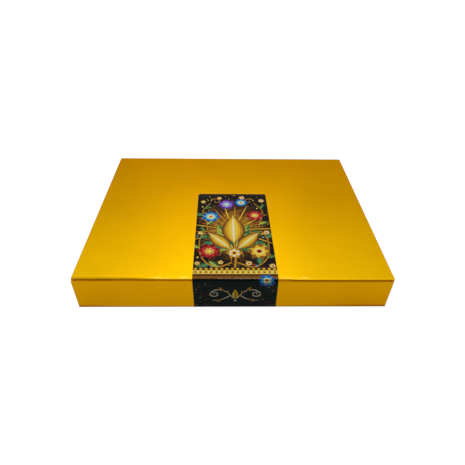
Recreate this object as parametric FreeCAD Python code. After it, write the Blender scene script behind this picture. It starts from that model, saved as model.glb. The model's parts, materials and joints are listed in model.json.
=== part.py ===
import FreeCAD
import Part
import os

# A book-style chocolate box. A case of paper-wrapped boards, the lid, front flap, spine and base,
# folds round a tray of wrapped boards that is glued to the spine and the base. The lid turns on a
# paper crease along the top of the spine, and the flap on another along the front of the lid.
# Magnets in the flap hold it to steel discs in the tray's front wall, and a printed label is stuck
# over the lid and the flap. In the tray a grid of slotted card parts the cells, and each cell holds
# a paper cup with a chocolate in it. A pad glued under the lid keeps the chocolates in their cups.
# The frame is in millimetres, +Z up, front at -Y, with the origin at the middle of the underside.

Vector = FreeCAD.Vector
ALONG_X = Vector(1, 0, 0)
ALONG_Y = Vector(0, 1, 0)
ALONG_Z = Vector(0, 0, 1)

# Case: the outside size of the closed box, and the build of each wrapped panel
case_width = 240.0
case_depth = 184.0
case_height = 30.6
case_board = 1.2
paper = 0.15
edge_radius = 0.4
turn_in = 14.0
liner_gap = 0.3

# Creases: the groove between two panels, and how far the paper is pressed into it
groove = 1.2
groove_depth = 0.9
crease_gap = 0.1

# Flap: how far it hangs clear of the tray and of the table
flap_clearance = 0.3
flap_foot = 0.15

# Tray
tray_overhang = 1.5
tray_board = 1.5
floor_board = 1.2
lid_clearance = 0.2
stay_leg = 12.0
stay_tape = 0.08
stay_end_gap = 1.0

# Magnetic closure
magnet_diameter = 10.0
magnet_recess = 0.1
magnet_fit = 0.1
magnet_height = 13.0
magnet_inset = 46.0
plate_diameter = 12.0
plate_thickness = 0.8

# Label: stuck on the lid, bent over its front edge and carried on down the flap
label_width = 64.0
label_shift = 0.6
label_reach = 113.6
label_sheet = 0.1
label_corner = 2.0
label_foot_gap = 0.1

# Lid pad
pad_margin = 9.0
pad_thickness = 2.5
pad_round = 1.6

# Card grid in the tray
columns = 6
rows = 5
grid_card = 0.8
grid_height = 14.0
slot_clearance = 0.1
grid_end_gap = 0.3

# Paper cups and the chocolates in them
cup_paper = 0.25
cup_height = 15.0
cup_clearance = 0.4
cup_flare = 2.3
chocolate_clearance = 0.4
dome_height = 16.0
square_height = 14.0
oval_height = 15.0
cone_height = 15.5
heart_height = 14.0
bar_height = 14.5
chocolate_edge = 2.2
kind_turn = 2
square_corner = 4.0

# Shapes of the chocolates, as shares of the circle that each one stands in
dome_round_share = 0.8
oval_narrow_share = 0.72
cone_top_share = 0.78
bar_length_share = 0.86
heart_wing_share = 0.86
heart_wing_rise_share = 0.3
heart_lobe_share = 0.45
heart_lobe_top_share = 0.78
heart_dip_share = 0.5
heart_tip_share = 0.92

# A quarter turn's middle, as a share of its radius along each axis
diagonal_share = 0.5 ** 0.5

# Places worked out from the sizes above
panel = case_board + 2 * paper
half_width = case_width / 2
front = -case_depth / 2
rear = case_depth / 2
lid_under = case_height - panel
crease_low = lid_under - groove
crease_axis = lid_under - groove / 2
spine_foot = panel + groove
wall = tray_board + 2 * paper
tray_half_width = half_width - tray_overhang
tray_front = front + panel + flap_clearance
tray_rear = rear - panel
tray_rim = lid_under - lid_clearance
tray_floor_top = panel + floor_board
inside_half_width = tray_half_width - wall
inside_front = tray_front + wall
inside_rear = tray_rear - wall
inside_floor = tray_floor_top + paper
cell_width = 2 * inside_half_width / columns
cell_depth = (inside_rear - inside_front) / rows
magnet_centres = (-half_width + magnet_inset, half_width - magnet_inset)
magnet_level = flap_foot + magnet_height
cup_top_radius = (min(cell_width, cell_depth) - grid_card) / 2 - cup_clearance
cup_base_radius = cup_top_radius - cup_flare
chocolate_radius = cup_base_radius - cup_paper - chocolate_clearance
chocolate_floor = inside_floor + cup_paper

nodes = {}


def box(x_range, y_range, z_range):
    """A box between three pairs of coordinates, each low to high."""
    low = Vector(x_range[0], y_range[0], z_range[0])
    high = Vector(x_range[1], y_range[1], z_range[1])
    size = high - low
    return Part.makeBox(size.x, size.y, size.z, low)


def face_through(edges):
    return Part.Face(Part.Wire(edges))


def line(start, end):
    return Part.LineSegment(start, end).toShape()


def arc(start, middle, end):
    return Part.Arc(start, middle, end).toShape()


def rounded_block(x_range, y_range, z_range, radius):
    """A box with every edge rounded apart from those of its lower face."""
    block = box(x_range, y_range, z_range)
    middle = sum(z_range) / 2
    return block.makeFillet(radius, [e for e in block.Edges if e.BoundBox.ZMax > middle])


def across(x, y, radius, length, level):
    """A disc whose axis runs front to back, from y inwards."""
    return Part.makeCylinder(radius, length, Vector(x, y, level), ALONG_Y)


def make_panel(width, length, low_is_crease, high_is_crease):
    """Board, wrap and liner of one case panel, lying with its outer face up at Z 0, from Y 0 on.

    The wrap turns in under the board all round, but not along a crease, where the sheet runs on.
    """
    half = width / 2
    skin = rounded_block((-half, half), (0, length), (-panel, 0), edge_radius)
    board = rounded_block(
        (-half + paper, half - paper),
        (paper, length - paper),
        (-panel + paper, -paper),
        edge_radius - paper,
    )
    low = paper if low_is_crease else turn_in
    high = length - (paper if high_is_crease else turn_in)
    inner_layer = (-panel, -panel + paper)
    window = box((-half + turn_in, half - turn_in), (low, high), inner_layer)
    liner = box(
        (-half + turn_in + liner_gap, half - turn_in - liner_gap),
        (low + liner_gap, high - liner_gap),
        inner_layer,
    )
    return {"board": board, "wrap": skin.cut(board).cut(window), "liner": liner}


def stand_panel(pieces, turn_about_x, place):
    """Turns a panel's pieces about X, in degrees, and sets them in place."""
    for piece in pieces.values():
        piece.rotate(Vector(), ALONG_X, turn_about_x)
        piece.translate(place)
    return pieces


def make_case():
    """The four wrapped panels of the case: lid, flap, spine and base."""
    lid = make_panel(case_width, case_depth, True, True)
    stand_panel(lid, 0, Vector(0, front, case_height))

    flap = make_panel(case_width, crease_low - flap_foot, False, True)
    stand_panel(flap, 90, Vector(0, front, flap_foot))
    for centre in magnet_centres:
        hole = across(centre, front, magnet_diameter / 2 + magnet_fit, panel, magnet_level)
        flap["board"] = flap["board"].cut(hole)

    spine = make_panel(case_width, crease_low - spine_foot, True, True)
    stand_panel(spine, -90, Vector(0, rear, crease_low))

    base = make_panel(case_width, rear - tray_front, True, False)
    stand_panel(base, 180, Vector(0, rear, 0))

    for name, pieces in {"lid": lid, "flap": flap, "spine": spine, "base": base}.items():
        for kind, piece in pieces.items():
            nodes[f"{name}_{kind}"] = piece


def crease_strip(outer_y, inward, z_range, axis_z):
    """The paper pressed into a crease: its hollow is round about the axis that the panels fold on."""
    sides = sorted((outer_y, outer_y + inward * panel))
    block = box((-half_width + edge_radius, half_width - edge_radius), sides, z_range)
    start = Vector(-half_width, outer_y, axis_z)
    return block.cut(Part.makeCylinder(groove_depth, case_width, start, ALONG_X))


def make_creases():
    nodes["flap_hinge_strip"] = crease_strip(front, 1, (crease_low + crease_gap, lid_under), crease_axis)
    nodes["lid_hinge_strip"] = crease_strip(rear, -1, (crease_low, lid_under - crease_gap), crease_axis)
    nodes["base_hinge_strip"] = crease_strip(rear, -1, (panel, spine_foot), panel + groove / 2)


def make_tray():
    """Four wall boards round a floor board, taped at the corners and wrapped inside and out."""
    board_half = tray_half_width - paper
    board_front = tray_front + paper
    board_rear = tray_rear - paper
    inner_front = board_front + tray_board
    inner_rear = board_rear - tray_board
    upright = (panel, tray_rim - paper)
    walls = {
        "front": box((-board_half, board_half), (board_front, inner_front), upright),
        "rear": box((-board_half, board_half), (inner_rear, board_rear), upright),
        "left": box((-board_half, -board_half + tray_board), (inner_front, inner_rear), upright),
        "right": box((board_half - tray_board, board_half), (inner_front, inner_rear), upright),
    }
    floor = box(
        (-board_half + tray_board, board_half - tray_board),
        (inner_front, inner_rear),
        (panel, tray_floor_top),
    )

    outside = box((-tray_half_width, tray_half_width), (tray_front, tray_rear), (panel, tray_rim))
    inside_x = (-inside_half_width, inside_half_width)
    inside_y = (inside_front, inside_rear)
    hollow = box(inside_x, inside_y, (tray_floor_top, tray_rim))
    wrap = outside.cut(hollow).cut(floor)
    for board in walls.values():
        wrap = wrap.cut(board)
    stays = corner_stays(board_half, board_front, board_rear, upright)
    wrap = wrap.cut(stays)

    for centre in magnet_centres:
        pocket = across(centre, board_front, plate_diameter / 2 + magnet_fit, plate_thickness, magnet_level)
        walls["front"] = walls["front"].cut(pocket)

    for name, board in walls.items():
        nodes[f"tray_{name}_wall"] = board
    nodes["tray_floor"] = floor
    nodes["tray_corner_stays"] = stays
    nodes["tray_wrap"] = wrap
    nodes["tray_floor_paper"] = box(inside_x, inside_y, (tray_floor_top, inside_floor))


def corner_stays(half, low_y, high_y, upright):
    """Paper tape bent round the four outer corners of the tray's boards."""
    z_range = (upright[0] + stay_end_gap, upright[1] - stay_end_gap)
    stays = []
    for side in (-1, 1):
        for corner_y, into in ((low_y, 1), (high_y, -1)):
            corner_x = side * half
            tape_x = sorted((corner_x - side * stay_leg, corner_x + side * stay_tape))
            tape_y = sorted((corner_y - into * stay_tape, corner_y + into * stay_leg))
            core_x = sorted((corner_x - side * stay_leg, corner_x))
            core_y = sorted((corner_y, corner_y + into * stay_leg))
            stays.append(box(tape_x, tape_y, z_range).cut(box(core_x, core_y, z_range)))
    return Part.makeCompound(stays)


def make_closure():
    """Magnets in the flap's board, and the steel discs that they meet in the tray's front wall."""
    magnets = [
        across(x, front + paper, magnet_diameter / 2, case_board - magnet_recess, magnet_level)
        for x in magnet_centres
    ]
    plates = [
        across(x, tray_front + paper, plate_diameter / 2, plate_thickness, magnet_level)
        for x in magnet_centres
    ]
    nodes["flap_magnets"] = Part.makeCompound(magnets)
    nodes["closure_plates"] = Part.makeCompound(plates)


def make_label():
    """The label's two spans: one over the lid and round its front edge, one down the flap."""
    left = label_shift - label_width / 2
    right = left + label_width
    bend_y = front + edge_radius
    bend_z = case_height - edge_radius
    outer = edge_radius + label_sheet

    def bend_point(radius, share_y, share_z):
        return Vector(left, bend_y - radius * share_y, bend_z + radius * share_z)

    back_y = front + label_reach
    inner_end = Vector(left, front, lid_under)
    outer_end = Vector(left, front - label_sheet, lid_under)
    inner_back = Vector(left, back_y, case_height)
    outer_back = Vector(left, back_y, case_height + label_sheet)
    outline = [
        line(inner_back, bend_point(edge_radius, 0, 1)),
        arc(
            bend_point(edge_radius, 0, 1),
            bend_point(edge_radius, diagonal_share, diagonal_share),
            bend_point(edge_radius, 1, 0),
        ),
        line(bend_point(edge_radius, 1, 0), inner_end),
        line(inner_end, outer_end),
        line(outer_end, bend_point(outer, 1, 0)),
        arc(
            bend_point(outer, 1, 0),
            bend_point(outer, diagonal_share, diagonal_share),
            bend_point(outer, 0, 1),
        ),
        line(bend_point(outer, 0, 1), outer_back),
        line(outer_back, inner_back),
    ]
    sheet = face_through(outline).extrude(ALONG_X * label_width)
    back_edges = [e for e in sheet.Edges if e.BoundBox.YMin > back_y - label_sheet]
    corners = [e for e in back_edges if e.BoundBox.XLength < label_sheet]
    nodes["label_lid_span"] = sheet.makeFillet(label_corner, corners)
    nodes["label_flap_span"] = box(
        (left, right),
        (front - label_sheet, front),
        (flap_foot + edge_radius + label_foot_gap, crease_low - edge_radius),
    )


def make_lid_pad():
    pad = box(
        (-inside_half_width + pad_margin, inside_half_width - pad_margin),
        (inside_front + pad_margin, inside_rear - pad_margin),
        (lid_under - pad_thickness, lid_under),
    )
    soft = [e for e in pad.Edges if e.BoundBox.ZMin < lid_under - pad_thickness / 2]
    nodes["lid_pad"] = pad.makeFillet(pad_round, soft)


def grid_lines(start, step, count):
    return [start + step * (i + 1) for i in range(count - 1)]


def make_grid():
    """Card strips that cross in half-height slots: the long ones are cut from above."""
    cross_x = grid_lines(-inside_half_width, cell_width, columns)
    long_y = grid_lines(inside_front, cell_depth, rows)
    card = (-grid_card / 2, grid_card / 2)
    slot = (-grid_card / 2 - slot_clearance, grid_card / 2 + slot_clearance)
    top = inside_floor + grid_height
    half_up = inside_floor + grid_height / 2
    long_x = (-inside_half_width + grid_end_gap, inside_half_width - grid_end_gap)
    cross_y = (inside_front + grid_end_gap, inside_rear - grid_end_gap)

    for number, y in enumerate(long_y, 1):
        strip = box(long_x, shifted(card, y), (inside_floor, top))
        for x in cross_x:
            strip = strip.cut(box(shifted(slot, x), shifted(slot, y), (half_up, top)))
        nodes[f"long_divider_{number}"] = strip
    for number, x in enumerate(cross_x, 1):
        strip = box(shifted(card, x), cross_y, (inside_floor, top))
        for y in long_y:
            strip = strip.cut(box(shifted(slot, x), shifted(slot, y), (inside_floor, half_up)))
        nodes[f"cross_divider_{number}"] = strip


def shifted(span, place):
    return (span[0] + place, span[1] + place)


def paper_cup():
    outside = Part.makeCone(cup_base_radius, cup_top_radius, cup_height)
    hollow = Part.makeCone(
        cup_base_radius - cup_paper,
        cup_top_radius - cup_paper,
        cup_height,
        Vector(0, 0, cup_paper),
    )
    return outside.cut(hollow)


def soft_top(solid, height, radius):
    """Rounds the upper edges of a chocolate."""
    return solid.makeFillet(radius, [e for e in solid.Edges if e.BoundBox.ZMin > height / 2])


def dark_dome():
    body = Part.makeCylinder(chocolate_radius, dome_height)
    return soft_top(body, dome_height, chocolate_radius * dome_round_share)


def milk_square():
    half = chocolate_radius * diagonal_share + square_corner * (1 - diagonal_share)
    body = box((-half, half), (-half, half), (0, square_height))
    body = body.makeFillet(square_corner, [e for e in body.Edges if e.BoundBox.ZLength > square_height / 2])
    return soft_top(body, square_height, chocolate_edge)


def white_oval():
    ellipse = Part.Ellipse(Vector(), chocolate_radius, chocolate_radius * oval_narrow_share)
    body = face_through([ellipse.toShape()]).extrude(ALONG_Z * oval_height)
    return soft_top(body, oval_height, chocolate_edge)


def caramel_cone():
    body = Part.makeCone(chocolate_radius, chocolate_radius * cone_top_share, cone_height)
    return soft_top(body, cone_height, chocolate_edge)


def ruby_heart():
    def at(share_x, share_y):
        return Vector(chocolate_radius * share_x, chocolate_radius * share_y, 0)

    tip = at(0, -heart_tip_share)
    dip = at(0, heart_dip_share)
    right = at(heart_wing_share, heart_wing_rise_share)
    left = at(-heart_wing_share, heart_wing_rise_share)
    outline = [
        line(tip, right),
        arc(right, at(heart_lobe_share, heart_lobe_top_share), dip),
        arc(dip, at(-heart_lobe_share, heart_lobe_top_share), left),
        line(left, tip),
    ]
    body = face_through(outline).extrude(ALONG_Z * heart_height)
    return soft_top(body, heart_height, chocolate_edge)


def hazel_bar():
    half_length = chocolate_radius * bar_length_share
    half_breadth = chocolate_radius * (1 - bar_length_share ** 2) ** 0.5
    body = box((-half_length, half_length), (-half_breadth, half_breadth), (0, bar_height))
    return soft_top(body, bar_height, chocolate_edge)


def make_chocolates():
    """A cup in every cell, and in each row one chocolate of each kind, in turning order."""
    kinds = {
        "dark_domes": dark_dome(),
        "milk_squares": milk_square(),
        "white_ovals": white_oval(),
        "caramel_cones": caramel_cone(),
        "ruby_hearts": ruby_heart(),
        "hazel_bars": hazel_bar(),
    }
    names = list(kinds)
    groups = {name: [] for name in names}
    cups = []
    for row in range(rows):
        for column in range(columns):
            x = -inside_half_width + cell_width * (column + 0.5)
            y = inside_front + cell_depth * (row + 0.5)
            name = names[(column + kind_turn * row) % len(names)]
            cups.append(paper_cup().translated(Vector(x, y, inside_floor)))
            groups[name].append(kinds[name].translated(Vector(x, y, chocolate_floor)))
    nodes["paper_cups"] = Part.makeCompound(cups)
    for name, solids in groups.items():
        nodes[name] = Part.makeCompound(solids)


def main():
    make_case()
    make_creases()
    make_tray()
    make_closure()
    make_label()
    make_lid_pad()
    make_grid()
    make_chocolates()
    os.makedirs("parts", exist_ok=True)
    for name, shape in nodes.items():
        shape.exportStep(os.path.join("parts", f"{name}.step"))


main()
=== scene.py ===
import json
import math
import random

import bpy
import numpy as np
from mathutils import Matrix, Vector, noise
from mathutils.geometry import delaunay_2d_cdt


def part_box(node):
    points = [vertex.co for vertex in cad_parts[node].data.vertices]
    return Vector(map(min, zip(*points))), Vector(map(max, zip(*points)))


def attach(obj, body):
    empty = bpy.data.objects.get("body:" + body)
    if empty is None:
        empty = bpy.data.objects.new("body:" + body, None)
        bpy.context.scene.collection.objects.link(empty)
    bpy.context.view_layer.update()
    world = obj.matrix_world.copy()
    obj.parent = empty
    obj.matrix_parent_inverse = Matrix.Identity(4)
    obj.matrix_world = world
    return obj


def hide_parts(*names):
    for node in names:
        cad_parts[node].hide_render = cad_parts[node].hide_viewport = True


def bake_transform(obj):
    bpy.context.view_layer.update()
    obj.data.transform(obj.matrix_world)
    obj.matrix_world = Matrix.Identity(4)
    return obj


# The looks of a flat gold chocolate box: foil-wrapped case, printed label, tray, card grid, fluted cups,
# chocolates and cushion pad. Lengths are in metres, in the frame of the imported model, front at -Y.

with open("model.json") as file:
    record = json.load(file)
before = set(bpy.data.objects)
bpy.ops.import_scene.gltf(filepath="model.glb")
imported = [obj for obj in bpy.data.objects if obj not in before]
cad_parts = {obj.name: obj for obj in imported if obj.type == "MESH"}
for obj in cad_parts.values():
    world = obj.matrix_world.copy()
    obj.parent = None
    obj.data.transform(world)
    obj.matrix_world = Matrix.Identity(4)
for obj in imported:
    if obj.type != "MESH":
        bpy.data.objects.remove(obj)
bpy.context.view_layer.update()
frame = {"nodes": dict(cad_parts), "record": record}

MM = 0.001
SEED = 7

# Camera, fitted to the outline of the box
CAMERA_PLACE = (-7.317 * MM, -295.602 * MM, 240.295 * MM)
CAMERA_TURN_DEG = (50.981, -0.864, -0.864)
CAMERA_LENS_MM = 30.519
CAMERA_SENSOR_MM = 36.0
CAMERA_NEAR = 0.01

# Light: a wide and a narrow softbox over the back of the box, and an even white surround
WIDE_BOX = {"place": (-0.002, 0.234, 0.5), "width": 1.0, "depth": 0.63, "watts": 1.53}
NARROW_BOX = {"place": (-0.016, 0.227, 0.49), "width": 0.35, "depth": 0.79, "watts": 0.78}
WORLD_DIFFUSE = 0.25
WORLD_SEEN = {"Glossy": 0.69, "Transmission": 0.69, "Camera": 1.0}

# Floor: white paper that evens out the lamps' fall-off towards its far parts
WHITE = (1.0, 1.0, 1.0, 1.0)
FLOOR_SIZE = 30.0
FLOOR_TONE = (0.3, 0.3, 0.3, 1.0)
FLOOR_RANGE = (0.25, 1.2)
FLOOR_GLOW = (0.92, 1.0)
# Painted shadow: the floor seen in reflections dims towards the box's front
FLOOR_GLOSS_SHADOWED = (0.9, 0.76)
FLOOR_PAINTED_SHADOW_REACH = 45 * MM

# Case: rounding of the wrapped edges
PAPER = 0.15 * MM
TURN_IN = 14 * MM
LIP_TURN = 0.35 * MM
CORE_SETBACK = 3 * MM
EDGE = 0.4 * MM
EDGE_ANGLES_DEG = (45, 38, 30, 22, 15, 7, 0)
HOLD = 0.4 * MM
PANEL_STEP = 6 * MM
CREASE_STEP = 0.8 * MM
GROOVE_DEPTH = 0.9 * MM
GROOVE_POINTS = 9
LINE_DIGITS = 7

# The lid's front edge: worn to a bevel on the left, crisp but sagging on the right, and drawn in below
NOSE_DEPTH = 2.7 * MM
NOSE_HEIGHT = 0.9 * MM
NOSE_UNDER = 0.2 * MM
NOSE_CRISP_SHARE = 0.22
WORN_RANGE = (-82 * MM, -40 * MM)
TIRED_RANGE = (38 * MM, 58 * MM)
WORN_SHARE = 0.3
WORN_SETBACK = 1.1 * MM
WORN_BEVEL_POWER = 1.15
ROUND_POWER = 2
SAG_RANGE = (-35 * MM, 65 * MM)
CREST_REACH = 1.7 * MM
CREST_LINE_SHARES = (0.25, 0.5, 0.75, 1.0)
CREST_DROPS = (0.22 * MM, 0.4 * MM)
UNDERCUT = 1.0 * MM
UNDER_LIFT = 0.2 * MM
FLAP_LIFTS = (1.0 * MM, 0.1 * MM)
LIFT_FADE = 7 * MM
LIFT_REACH = 2.4 * MM
END_FADE = 5 * MM
END_DEPTH_SHARE = 0.25

# Uneven pressing along the crease and on the flap
RIPPLE_REACH = 2.2 * MM
RIPPLE_DEPTH = 0.12 * MM
RIPPLE_WAVE = 11 * MM
CRINKLE_PLACE = -44 * MM
CRINKLE_SPREAD = 13 * MM
CRINKLE_WAVE = 2.8 * MM
CRINKLE_DEPTH = 0.2 * MM
STREAK_RANGE = (15 * MM, 70 * MM)
STREAK_WAVE = 9 * MM
STREAK_SLANT_SHARE = 0.35
STREAK_DEPTH = 0.07 * MM

# Painted light and shade on the foil: darker and more orange at the lid's back, painted shade under its front
# edge and in the front crease, painted glints along that edge, and a painted contact shadow with scuffing at
# the foot
# Painted shade: the lid's foil turns darker and more orange towards its back, away from the lamps' highlight
PAINTED_BACK_SHADE_RANGE = (-92 * MM, 92 * MM)
PAINTED_BACK_SHADE_TINT = (1.0, 0.775, 1.0, 1.0)
# Painted shade: redder, darker foil on the lip's face under the lid's front edge
LIP_SHADE_HEIGHTS = (29.6 * MM, 30.0 * MM)
LIP_SHADE_DEPTHS = (-90.6 * MM, -89.6 * MM)
LIP_SHADE_TINT = (0.87, 0.52, 1.0, 1.0)
# Painted shade: a darker band along the worn bevel of the lid's front edge on the left
BEVEL_LINE = 30.2 * MM
BEVEL_WIDTH = 0.35 * MM
BEVEL_RANGE = (-74 * MM, -58 * MM)
BEVEL_SHADE_TINT = (0.7, 0.65, 1.0, 1.0)
# Painted highlight: pale glints in spots along the crest of the lid's front edge, either side of its middle
GLINT_PLACE = 46 * MM
GLINT_FULL = 8 * MM
GLINT_SPREAD = 16 * MM
GLINT_LINE = -89.8 * MM
GLINT_WIDTH = 1.2 * MM
GLINT_SPOTS = {"size": 3 * MM, "detail": 3.0, "stretch": (0.4, 1.0, 1.0)}
GLINT_SPOT_SHARES = (0.4, 0.7)
PAINTED_GLINT_TONE = (0.53, 0.43, 0.06, 1.0)
# Painted contact shadow and scuffing: a dark line along the foot of the foil, broader towards the ends
SCUFF_AND_SHADOW_LEFT = (-112 * MM, -92 * MM)
SCUFF_AND_SHADOW_RIGHT = (40 * MM, 100 * MM)
SCUFF_AND_SHADOW_FULL = 0.8 * MM
SCUFF_AND_SHADOW_REACHES = (1.6 * MM, 3.4 * MM)
SCUFF_AND_SHADOW_SHARES = (0.75, 1.0)
SCUFF_AND_SHADOW_TINT = (0.4, 0.26, 1.0, 1.0)
# Painted shade: the foil darker towards the lower right
LOWER_RIGHT_SHADE_REACH = 16 * MM
LOWER_RIGHT_SHADE_TINT = (0.94, 0.87, 1.0, 1.0)
# Painted shade: darker foil in the left part of the front crease
CREASE_LEFT_SHADE_RANGE = (-62 * MM, -50 * MM)
CREASE_LEFT_SHADE_TINT = (0.61, 0.51, 1.0, 1.0)
# Painted shadow: dark foil in the front crease under the lip, in its right part
CREASE_SHADOW_RANGE = (25 * MM, 45 * MM)
CREASE_SHADOW_RUN = (1.25 * MM, 1.5 * MM)
CREASE_SHADOW_TINT = (0.32, 0.205, 1.0, 1.0)

# Colours of the materials, from one tone to another
# Painted light: the lid's foil is a yellower copy of the case's, for the lamps' highlight on the top
LID_LIT_TONES = ((0.60, 0.34, 0.002), (0.55, 0.31, 0.002))
CASE_TONES = ((0.60, 0.29, 0.002), (0.55, 0.26, 0.002))
# Painted light: the front crease's foil is a lighter copy of the case's, brightening the groove
FRONT_CREASE_LIT_TONES = ((0.95, 0.42, 0.002), (0.78, 0.33, 0.002))
REAR_CREASE_TONES = ((0.66, 0.28, 0.002), (0.56, 0.22, 0.002))
BOARD_TONES = ((0.30, 0.27, 0.23), (0.22, 0.20, 0.17))
LINER_TONES = ((0.055, 0.026, 0.014), (0.04, 0.018, 0.01))
TAPE_TONES = ((0.50, 0.34, 0.18), (0.42, 0.28, 0.14))
CARD_TONES = ((0.50, 0.26, 0.03), (0.58, 0.32, 0.05))
NICKEL_TONES = ((0.62, 0.61, 0.58), (0.5, 0.49, 0.46))
STEEL_TONES = ((0.5, 0.5, 0.51), (0.4, 0.4, 0.41))
GLASSINE_TONES = ((0.10, 0.042, 0.018), (0.16, 0.07, 0.03))
CUSHION_TONES = ((0.80, 0.68, 0.47), (0.84, 0.73, 0.53))
GROUND_TONES = ((0.004, 0.003, 0.002), (0.008, 0.005, 0.004))
HALO_TONE = (0.13, 0.045, 0.005, 1.0)
GLOW_TONE = (0.72, 0.35, 0.025, 1.0)
GRAZING_TINT = (1.0, 0.7, 0.1, 1.0)
# Painted shade in the quilting grooves, with pressed paper darker there
QUILT_SHADE_AND_PRESS_TINT = (0.72, 0.64, 0.52, 1.0)

# Relief of the materials, and the sizes of their clouds
SWELL = {"size": 3.0 * MM, "depth": 0.038 * MM}
GRAIN = {"size": 0.5 * MM, "detail": 3.0, "depth": 0.004 * MM}
FIBRE = {"size": 0.6 * MM, "detail": 4.0, "stretch": (1.0, 0.3, 1.0), "depth": 0.02 * MM}
CARD_GRAIN = {"size": 0.5 * MM, "detail": 3.0, "depth": 0.006 * MM}
SCRATCH_LINES = {"size": 0.8 * MM, "detail": 4.0, "stretch": (1.0, 1.0, 8.0)}
SCRATCH = {**SCRATCH_LINES, "depth": 0.005 * MM}
GLASSINE_FIBRE = {"size": 0.7 * MM, "detail": 3.0, "depth": 0.01 * MM}
CREPE = {"size": 0.9 * MM, "detail": 3.0, "stretch": (1.0, 3.0, 1.0), "depth": 0.05 * MM}
PITS = {"size": 0.7 * MM, "detail": 4.0, "depth": 0.012 * MM}
FOIL_CLOUD = 40 * MM
SCUFF_AND_SHADOW_CLOUD = 14 * MM
PAPER_CLOUD = 6 * MM
CARD_CLOUD = 20 * MM
GLASSINE_CLOUD = 8 * MM
CUSHION_CLOUD = 10 * MM
CHOCOLATE_CLOUD = 9 * MM
CHOCOLATE_SCATTER = (2 * MM, 0.8 * MM, 0.4 * MM)
DUST_SPACING = 1.1 * MM
INK_CLOUD = {"size": 5 * MM, "detail": 3.0}
SMOKE = {"size": 7 * MM, "detail": 4.0}
SMOKE_SHARES = (-0.25, 0.25)
HALO_SHARES = (0.55, 1.1)
GLOW_SHARES = (0.0, 0.7)
DUST_SHARES = (0.12, 0.2)
QUILT_LINE_SHARES = (0.05, 0.5)
NOISE_SHARES = (0.3, 0.7)
SWELL_SHARE = 0.35


# Roughness of the materials, from low to high
FOIL_ROUGH = (0.31, 0.37)
BOARD_ROUGH = (0.82, 0.95)
LINER_ROUGH = (0.54, 0.67)
TAPE_ROUGH = (0.72, 0.85)
CARD_ROUGH = (0.42, 0.55)
NICKEL_ROUGH = (0.2, 0.35)
STEEL_ROUGH = (0.35, 0.5)
GLASSINE_ROUGH = (0.38, 0.5)
CREPE_ROUGH = (0.6, 0.75)
CHOCOLATE_ROUGH = (0.22, 0.34)
INK_ROUGH = (0.32, 0.42)


def rgb(red, green, blue):
    return (red, green, blue, 1.0)


def fill(tree, target, value):
    """Links a node's output to a socket, or sets the socket to a constant."""
    if isinstance(value, bpy.types.NodeSocket):
        tree.links.new(value, target)
    else:
        target.default_value = value


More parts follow.
